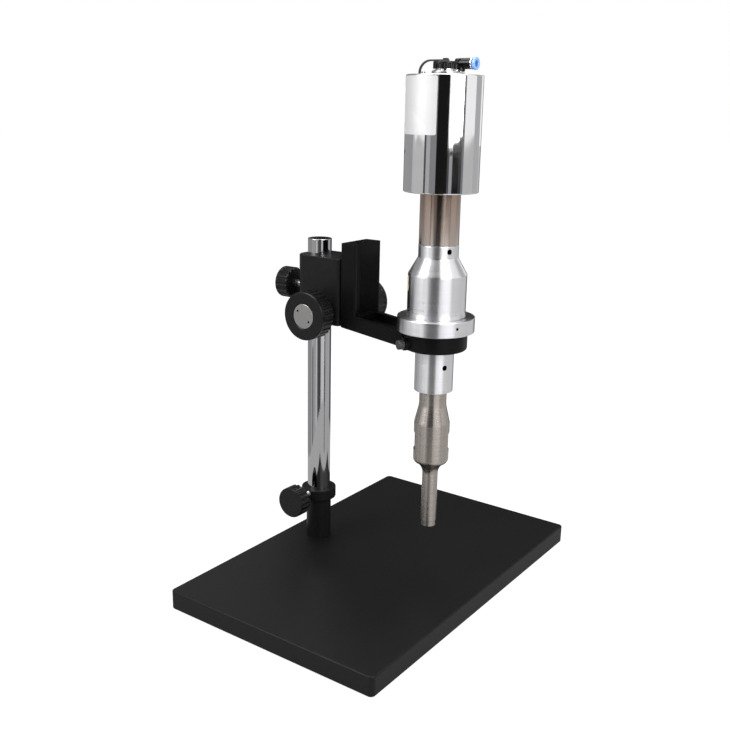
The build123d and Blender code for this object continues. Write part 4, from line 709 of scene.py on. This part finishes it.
def wrapped_plate(radius, low, high, start, end, corner):
    """Thin plate on a cylinder: a rounded rectangle (s, z), s being the arc length, is shrunk to its
    middle in rings, and each point goes to (r cos(s/R), r sin(s/R), z); r steps from back to front."""
    half_wide = radians(end - start) / 2 * radius
    middle = radians(start + end) / 2
    half_high, mid_z = (high - low) / 2, (low + high) / 2
    corners = [(-half_wide, -half_high), (half_wide, -half_high), (half_wide, half_high),
               (-half_wide, half_high)]
    box = softened(corners, corner, steps=6)
    edge = finer(np.vstack([box, box[:1]]), -half_high - 1, half_high + 1, 1.2)[:-1]
    back, front = radius + 0.1, radius + 0.4
    rings = [(0.0, back), (0.4, back), (0.7, back), (1.0, back), (1.0, front), (0.995, front), (0.7, front),
             (0.4, front), (0.2, front), (0.0, front)]
    share = np.array([s for s, _ in rings])[:, None]
    r = np.array([r for _, r in rings])[:, None] * np.ones(len(edge))
    turn = middle + share * edge[None, :, 0] / radius
    z = mid_z + share * edge[None, :, 1]
    return np.stack([PROBE_X + r * np.cos(turn), r * np.sin(turn), z], axis=-1)


def build_plates():
    """Blank foil plates on the can and on the booster."""
    low, high = cad_span("name_plate")
    grid = wrapped_plate(35.3, low[2], high[2], -172.0, -69.0, 2.0)
    dress(surface("can_plate", grid), "name_plate")
    low, high = cad_span("booster_plate")
    grid = wrapped_plate(28.4, low[2], high[2], -170.0, -134.0, 1.0)
    dress(surface("booster_tag", grid), "booster_plate")


def build_connector():
    """Panel connector with its round flange, and the fluted dust cap."""
    foot, barrel_top = (corner[2] for corner in cad_span("connector_socket"))
    flange_top = ROOF_Z + 3.2
    neck_r, flange_r, barrel_r, barrel_bore = 8.9, 12.4, 9.0, 7.0
    corners = [(0, foot), (neck_r, foot), (neck_r, ROOF_Z), (flange_r, ROOF_Z), (flange_r, flange_top),
               (barrel_r, flange_top), (barrel_r, barrel_top), (barrel_bore, barrel_top),
               (barrel_bore, ROOF_Z), (0, ROOF_Z)]
    outline = softened(corners, [0, 0.3, 0, 0.2, 0.7, 0.2, 0.4, 0.2, 0, 0], closed=False)
    grid = set_on(lathe(outline, round_angles(96)), (PROBE_X, 0, 0))
    dress(surface("panel_connector", grid), "connector_socket")

    foot, top = (corner[2] for corner in cad_span("dust_cap"))
    radius, bore, rivet_bore, count = 11.3, 9.1, 1.25, 18
    roof_low = top - 2.2
    corners = [(bore, foot), (radius, foot), (radius, top), (rivet_bore, top), (rivet_bore, roof_low),
               (bore, roof_low)]
    outline = softened(corners, [0.3, 0.5, 1.5, 0, 0, 0.3])
    outline = finer(np.vstack([outline, outline[:1]]), roof_low - 1.2, roof_low + 1.4, 0.3)[:-1]
    grid = lathe(outline, round_angles(count * 12), flutes(count, radius, foot - 1, roof_low))
    dress(surface("cap_grip", set_on(grid, (PROBE_X, 0, 0)), closed=True), "dust_cap")


def capped(grid):
    """Grid whose first and last row are shut by a row of their middle point."""
    middle = grid.mean(axis=1, keepdims=True)
    ends = [np.broadcast_to(middle[k], grid[:1].shape) for k in (0, -1)]
    return np.concatenate([ends[0], grid, ends[1]])


def build_tether():
    """Strap swept along a line that rises from the roof, turns over in an arc and lies on the cap."""
    thick, wide = 1.6, 3.0
    foot_r, eye_r, bend, angle = 22.0, 3.6, 11.0, radians(-172.0)
    eye_bore, pad_r, pad_bore = 1.3, 3.4, 1.25
    level = cad_span("dust_cap")[1][2] + 0.05 + thick / 2
    rise = foot_r + eye_r
    a = np.linspace(0, pi / 2, 16)
    arc = np.stack([rise - bend * (1 - np.cos(a)), level - bend * (1 - np.sin(a))], axis=1)
    line = np.vstack([[(rise, ROOF_Z + 0.1), (rise, ROOF_Z + 1)], arc, [(8.0, level), (0.5, level)]])
    along = np.gradient(line, axis=0)
    along /= np.linalg.norm(along, axis=1)[:, None]
    across = np.stack([along[:, 1], -along[:, 0]], axis=1)
    corners = [(-thick / 2, -wide / 2), (thick / 2, -wide / 2), (thick / 2, wide / 2), (-thick / 2, wide / 2)]
    ring = softened(corners, 0.5, steps=3)
    rz = line[:, None, :] + ring[None, :, :1] * across[:, None, :]
    side = np.broadcast_to(ring[None, :, 1], rz.shape[:2])
    x = rz[..., 0] * cos(angle) - side * sin(angle) + PROBE_X
    y = rz[..., 0] * sin(angle) + side * cos(angle)
    strap = np.stack([x, y, rz[..., 1]], axis=-1)
    strap = capped(strap)
    eye_x, eye_y = PROBE_X + foot_r * cos(angle), foot_r * sin(angle)
    eye = softened([(eye_bore, 0), (eye_r, 0), (eye_r, thick), (eye_bore, thick)], 0.3)
    pad = softened([(pad_bore, 0), (pad_r, 0), (pad_r, thick), (pad_bore, thick)], 0.3)
    turn = np.array([[cos(angle), sin(angle), 0], [-sin(angle), cos(angle), 0], [0, 0, 1]])
    heel = [(foot_r + 2, -wide / 2), (rise, -wide / 2), (rise, wide / 2), (foot_r + 2, wide / 2)]
    heel_box = np.array([[(along_x, side_y, z) for along_x, side_y in heel] for z in (0.0, thick)])
    heel_box = capped(heel_box @ turn + np.array([PROBE_X, 0, ROOF_Z]))
    pieces = [(strap, False), (heel_box, False),
              (set_on(lathe(eye, round_angles(48)), (eye_x, eye_y, ROOF_Z)), True),
              (set_on(lathe(pad, round_angles(48)), (PROBE_X, 0, level - thick / 2)), True)]
    dress(joined("cap_tether", pieces), "tether")


def build_air_fitting():
    """Elbow with its domed stem and branch, bright ring, and release collet with a bored face."""
    x, y, axis_z = PROBE_X + 4.6, 17.6, 526.4
    body_r, stem_bore, seat_r, ring_r = 4.9, 2.55, 3.95, 5.2
    branch, ring_end, face = 12.6, 14.0, 17.9
    low, top = ROOF_Z + 3.7, axis_z + 4.6
    stem_top, seat_floor = low + 4.2, branch - 4.6
    corners = [(stem_bore, low), (body_r, low), (body_r, top), (0, top), (0, stem_top), (stem_bore, stem_top)]
    upright = softened(corners, [0.2, 0.4, 2.6, 0, 0, 0.1], steps=6)
    corners = [(0, 0), (body_r, 0), (body_r, branch), (seat_r, branch), (seat_r, seat_floor), (0, seat_floor)]
    arm = softened(corners, [0, 0.1, 0.4, 0.1, 0, 0])
    pieces = [(set_on(lathe(upright, round_angles(72)), (x, y, 0)), True),
              (set_on(lathe(arm, round_angles(72)), (x, y, axis_z), (1, 0, 0)), True)]
    dress(joined("elbow_body", pieces), "fitting_elbow")
    ring = softened([(seat_r, branch), (ring_r, branch), (ring_r, ring_end), (seat_r, ring_end)], 0.35)
    grid = set_on(lathe(ring, round_angles(72)), (x, y, axis_z), (1, 0, 0))
    dress(surface("elbow_ring", grid, closed=True), "fitting_ring")
    tube_r, sleeve_r, rim_r, mouth_r = 3.05, 3.9, 5.7, 3.6
    sleeve_end, rim_foot = face - 7.0, face - 2.4
    corners = [(tube_r, sleeve_end), (sleeve_r, sleeve_end), (sleeve_r, rim_foot), (rim_r, rim_foot),
               (rim_r, face), (mouth_r, face), (tube_r, face - 0.6)]
    collet = softened(corners, [0.2, 0.3, 0.2, 0.5, 0.6, 0.3, 0.2])
    grid = set_on(lathe(collet, round_angles(72)), (x, y, axis_z), (1, 0, 0))
    dress(surface("collet_body", grid, closed=True), "release_collet")


def build_ring_screw():
    """Knurled thumb screw in the arm's ring."""
    angle, height, seat, radius = -119.0, 267.5, 35.0, 4.7
    stem_r, stem_long, head, count = 2.5, 10.95, 6.0, 20
    corners = [(0, -stem_long), (stem_r, -stem_long), (stem_r, 0), (radius, 0), (radius, head), (0, head)]
    outline = softened(corners, [0, 0.3, 0.1, 0.5, 0.6, 0], closed=False)
    grid = lathe(outline, round_angles(count * 8), flutes(count, radius, 0.2, head - 0.4, 0.3))
    origin, out = on_cylinder(angle, seat, height)
    dress(surface("thumb_screw", set_on(grid, origin, out)), "ring_screw")


# Floor, backdrop, lights and camera

CAMERA_AZIMUTH = 35.634
CAMERA_ELEVATION = 15.459
CAMERA_ROLL = 1.028
CAMERA_DISTANCE = 658.8
CAMERA_TARGET = (147.29, -243.89, 311.75)
FOCAL_PIXELS = 935.43

# White of the floor: how much of it is plain white, and how strong to the camera and in reflections
FLOOR_SHARE = 0.9
FLOOR_TO_CAMERA = 1.06
FLOOR_MIRRORED = 0.5


def white_to_camera(tree, surface_socket, share, strength=1.0, mirrored=1.0):
    """Mixes plain white into a surface for camera, glossy and transmission rays; mirrored is its
    strength away from the camera."""
    nodes, links = tree.nodes, tree.links
    path = nodes.new("ShaderNodeLightPath")
    seen = nodes.new("ShaderNodeMath")
    seen.operation = "MAXIMUM"
    links.new(path.outputs["Is Camera Ray"], seen.inputs[0])
    links.new(path.outputs["Is Glossy Ray"], seen.inputs[1])
    through = nodes.new("ShaderNodeMath")
    through.operation = "MAXIMUM"
    links.new(seen.outputs["Value"], through.inputs[0])
    links.new(path.outputs["Is Transmission Ray"], through.inputs[1])
    amount = nodes.new("ShaderNodeMath")
    amount.operation = "MULTIPLY"
    amount.inputs[1].default_value = share
    links.new(through.outputs["Value"], amount.inputs[0])
    white = nodes.new("ShaderNodeEmission")
    white.inputs["Color"].default_value = (1, 1, 1, 1)
    level = nodes.new("ShaderNodeMapRange")
    level.inputs["To Min"].default_value = mirrored
    level.inputs["To Max"].default_value = strength
    links.new(path.outputs["Is Camera Ray"], level.inputs["Value"])
    links.new(level.outputs["Result"], white.inputs["Strength"])
    mix = nodes.new("ShaderNodeMixShader")
    links.new(amount.outputs["Value"], mix.inputs["Fac"])
    links.new(surface_socket, mix.inputs[1])
    links.new(white.outputs["Emission"], mix.inputs[2])
    return mix.outputs["Shader"]


def build_floor():
    """Wide pale floor that keeps a soft shadow."""
    mesh = bpy.data.meshes.new("floor")
    half = 12.0
    corners = [(-half, -half, 0), (half, -half, 0), (half, half, 0), (-half, half, 0)]
    mesh.from_pydata(corners, [], [(0, 1, 2, 3)])
    floor = bpy.data.objects.new("floor", mesh)
    bpy.context.scene.collection.objects.link(floor)
    material = bpy.data.materials.new("floor_paper")
    material.use_nodes = True
    tree = material.node_tree
    tree.nodes.clear()
    paper = tree.nodes.new("ShaderNodeBsdfDiffuse")
    paper.inputs["Color"].default_value = (0.93, 0.93, 0.93, 1)
    out = tree.nodes.new("ShaderNodeOutputMaterial")
    white = white_to_camera(tree, paper.outputs["BSDF"], FLOOR_SHARE, FLOOR_TO_CAMERA, FLOOR_MIRRORED)
    tree.links.new(white, out.inputs["Surface"])
    mesh.materials.append(material)


def build_world():
    """Even white surroundings."""
    world = bpy.data.worlds.new("studio")
    bpy.context.scene.world = world
    world.use_nodes = True
    tree = world.node_tree
    tree.nodes.clear()
    soft = tree.nodes.new("ShaderNodeBackground")
    soft.inputs["Color"].default_value = (1, 1, 1, 1)
    soft.inputs["Strength"].default_value = 0.7
    out = tree.nodes.new("ShaderNodeOutputWorld")
    tree.links.new(white_to_camera(tree, soft.outputs["Background"], 1.0), out.inputs["Surface"])


# Cards round the object, seen only by polished surfaces: azimuths in degrees, heights in
# millimetres and a grey. Between them the white surroundings show.
CARDS = [
    (-76, -44, 320, 900, 0.010),
    (-44, -38, 320, 437, 0.07),
    (-38, -29, 320, 440, 0.33),
    (-29, -10, 320, 446, 0.012),
    (-10, -1, 320, 452, 0.05),
    (-1, 6, 320, 900, 0.20),
    (45, 78, 320, 900, 0.45),
    (96, 146, 320, 900, 0.03),
    (146, 205, 320, 900, 0.33),
    (205, 212, 320, 900, 0.50),
    (248, 254, 320, 900, 0.08),
    (254, 266, 320, 900, 0.42),
    (266, 284, 320, 900, 0.24),
    (-92, -84, 0, 320, 0.32),
    (-84, -50, 0, 320, 0.10),
    (-50, -24, 0, 320, 0.85),
    (-24, -4, 0, 320, 0.95),
    (-4, 8, 0, 320, 0.55),
    (48, 84, 0, 320, 0.62),
    (84, 150, 0, 320, 0.10),
    (150, 212, 0, 320, 0.42),
    (219, 229, 0, 150, 0.24),
    (229, 243, 0, 150, 0.50),
    (248, 254, 0, 320, 0.40),
    (254, 268, 0, 320, 0.85),
]
CARD_RADIUS = 430.0
CARD_POINTS = 13


def build_cards():
    """Upright cards bent round the probe, each a strip of a cylinder of plain grey."""
    for k, (start, end, low, high, tone) in enumerate(CARDS):
        name = f"card_{k}"
        radius = CARD_RADIUS + k
        turns = np.radians(np.linspace(start, end, CARD_POINTS))
        ring = np.stack([PROBE_X + radius * np.cos(turns), radius * np.sin(turns)], axis=1)
        points = np.vstack([np.column_stack([ring, np.full(CARD_POINTS, z)]) for z in (low, high)])
        faces = [(i, i + 1, i + 1 + CARD_POINTS, i + CARD_POINTS) for i in range(CARD_POINTS - 1)]
        mesh = bpy.data.meshes.new(name)
        mesh.from_pydata((points * MM).tolist(), [], faces)
        card = bpy.data.objects.new(name, mesh)
        bpy.context.scene.collection.objects.link(card)
        material = bpy.data.materials.new(name + "_paper")
        material.use_nodes = True
        tree = material.node_tree
        tree.nodes.clear()
        paper = tree.nodes.new("ShaderNodeEmission")
        paper.inputs["Color"].default_value = (tone, tone, tone * 1.03, 1)
        out = tree.nodes.new("ShaderNodeOutputMaterial")
        tree.links.new(paper.outputs["Emission"], out.inputs["Surface"])
        mesh.materials.append(material)
        card.visible_camera = False
        card.visible_diffuse = False
        card.visible_shadow = False
        card.visible_transmission = False


def soft_lamp(name, place, target, size, power):
    """Square soft lamp that looks at a point; places in millimetres."""
    data = bpy.data.lights.new(name, "AREA")
    data.shape = "SQUARE"
    data.size = size * MM
    data.energy = power
    lamp = bpy.data.objects.new(name, data)
    bpy.context.scene.collection.objects.link(lamp)
    lamp.location = np.array(place) * MM
    way = Vector((np.array(target) - np.array(place)).tolist())
    lamp.rotation_euler = way.to_track_quat("-Z", "Y").to_euler()


def build_camera():
    """Camera at the photograph's viewing angle; its lens comes from the fitted focal length in pixels."""
    azimuth, elevation, roll = np.radians([CAMERA_AZIMUTH, CAMERA_ELEVATION, CAMERA_ROLL])
    back = np.array([sin(azimuth) * cos(elevation), -cos(azimuth) * cos(elevation), sin(elevation)])
    right = np.array([cos(azimuth), sin(azimuth), 0.0])
    up = np.cross(back, right)
    turned_right = cos(roll) * right + sin(roll) * up
    turned_up = np.cross(back, turned_right)
    place = (np.array(CAMERA_TARGET) + CAMERA_DISTANCE * back) * MM
    data = bpy.data.cameras.new("camera")
    data.sensor_width = 36.0
    data.lens = FOCAL_PIXELS / PHOTO_SIZE * data.sensor_width
    data.clip_start = 0.01
    camera = bpy.data.objects.new("camera", data)
    bpy.context.scene.collection.objects.link(camera)
    turn = np.eye(4)
    turn[:3, 0], turn[:3, 1], turn[:3, 2], turn[:3, 3] = turned_right, turned_up, back, place
    camera.matrix_world = Matrix(turn.tolist())
    bpy.context.scene.camera = camera


paint_cad_nodes()
build_base()
build_post()
build_focus_knobs()
build_clamp_knobs()
build_carriage()
build_carry_ring()
build_booster()
build_horn()
build_transducer()
build_plates()
build_connector()
build_tether()
build_air_fitting()
build_ring_screw()

build_floor()
build_world()
build_cards()
soft_lamp("key", (-500, -900, 1100), (0, 0, 250), 700, 14.0)
soft_lamp("fill", (900, -300, 700), (0, 0, 250), 700, 8.0)
soft_lamp("top", (-100, 200, 1500), (0, 0, 200), 900, 12.0)
build_camera()

bpy.context.scene.view_settings.view_transform = "Standard"
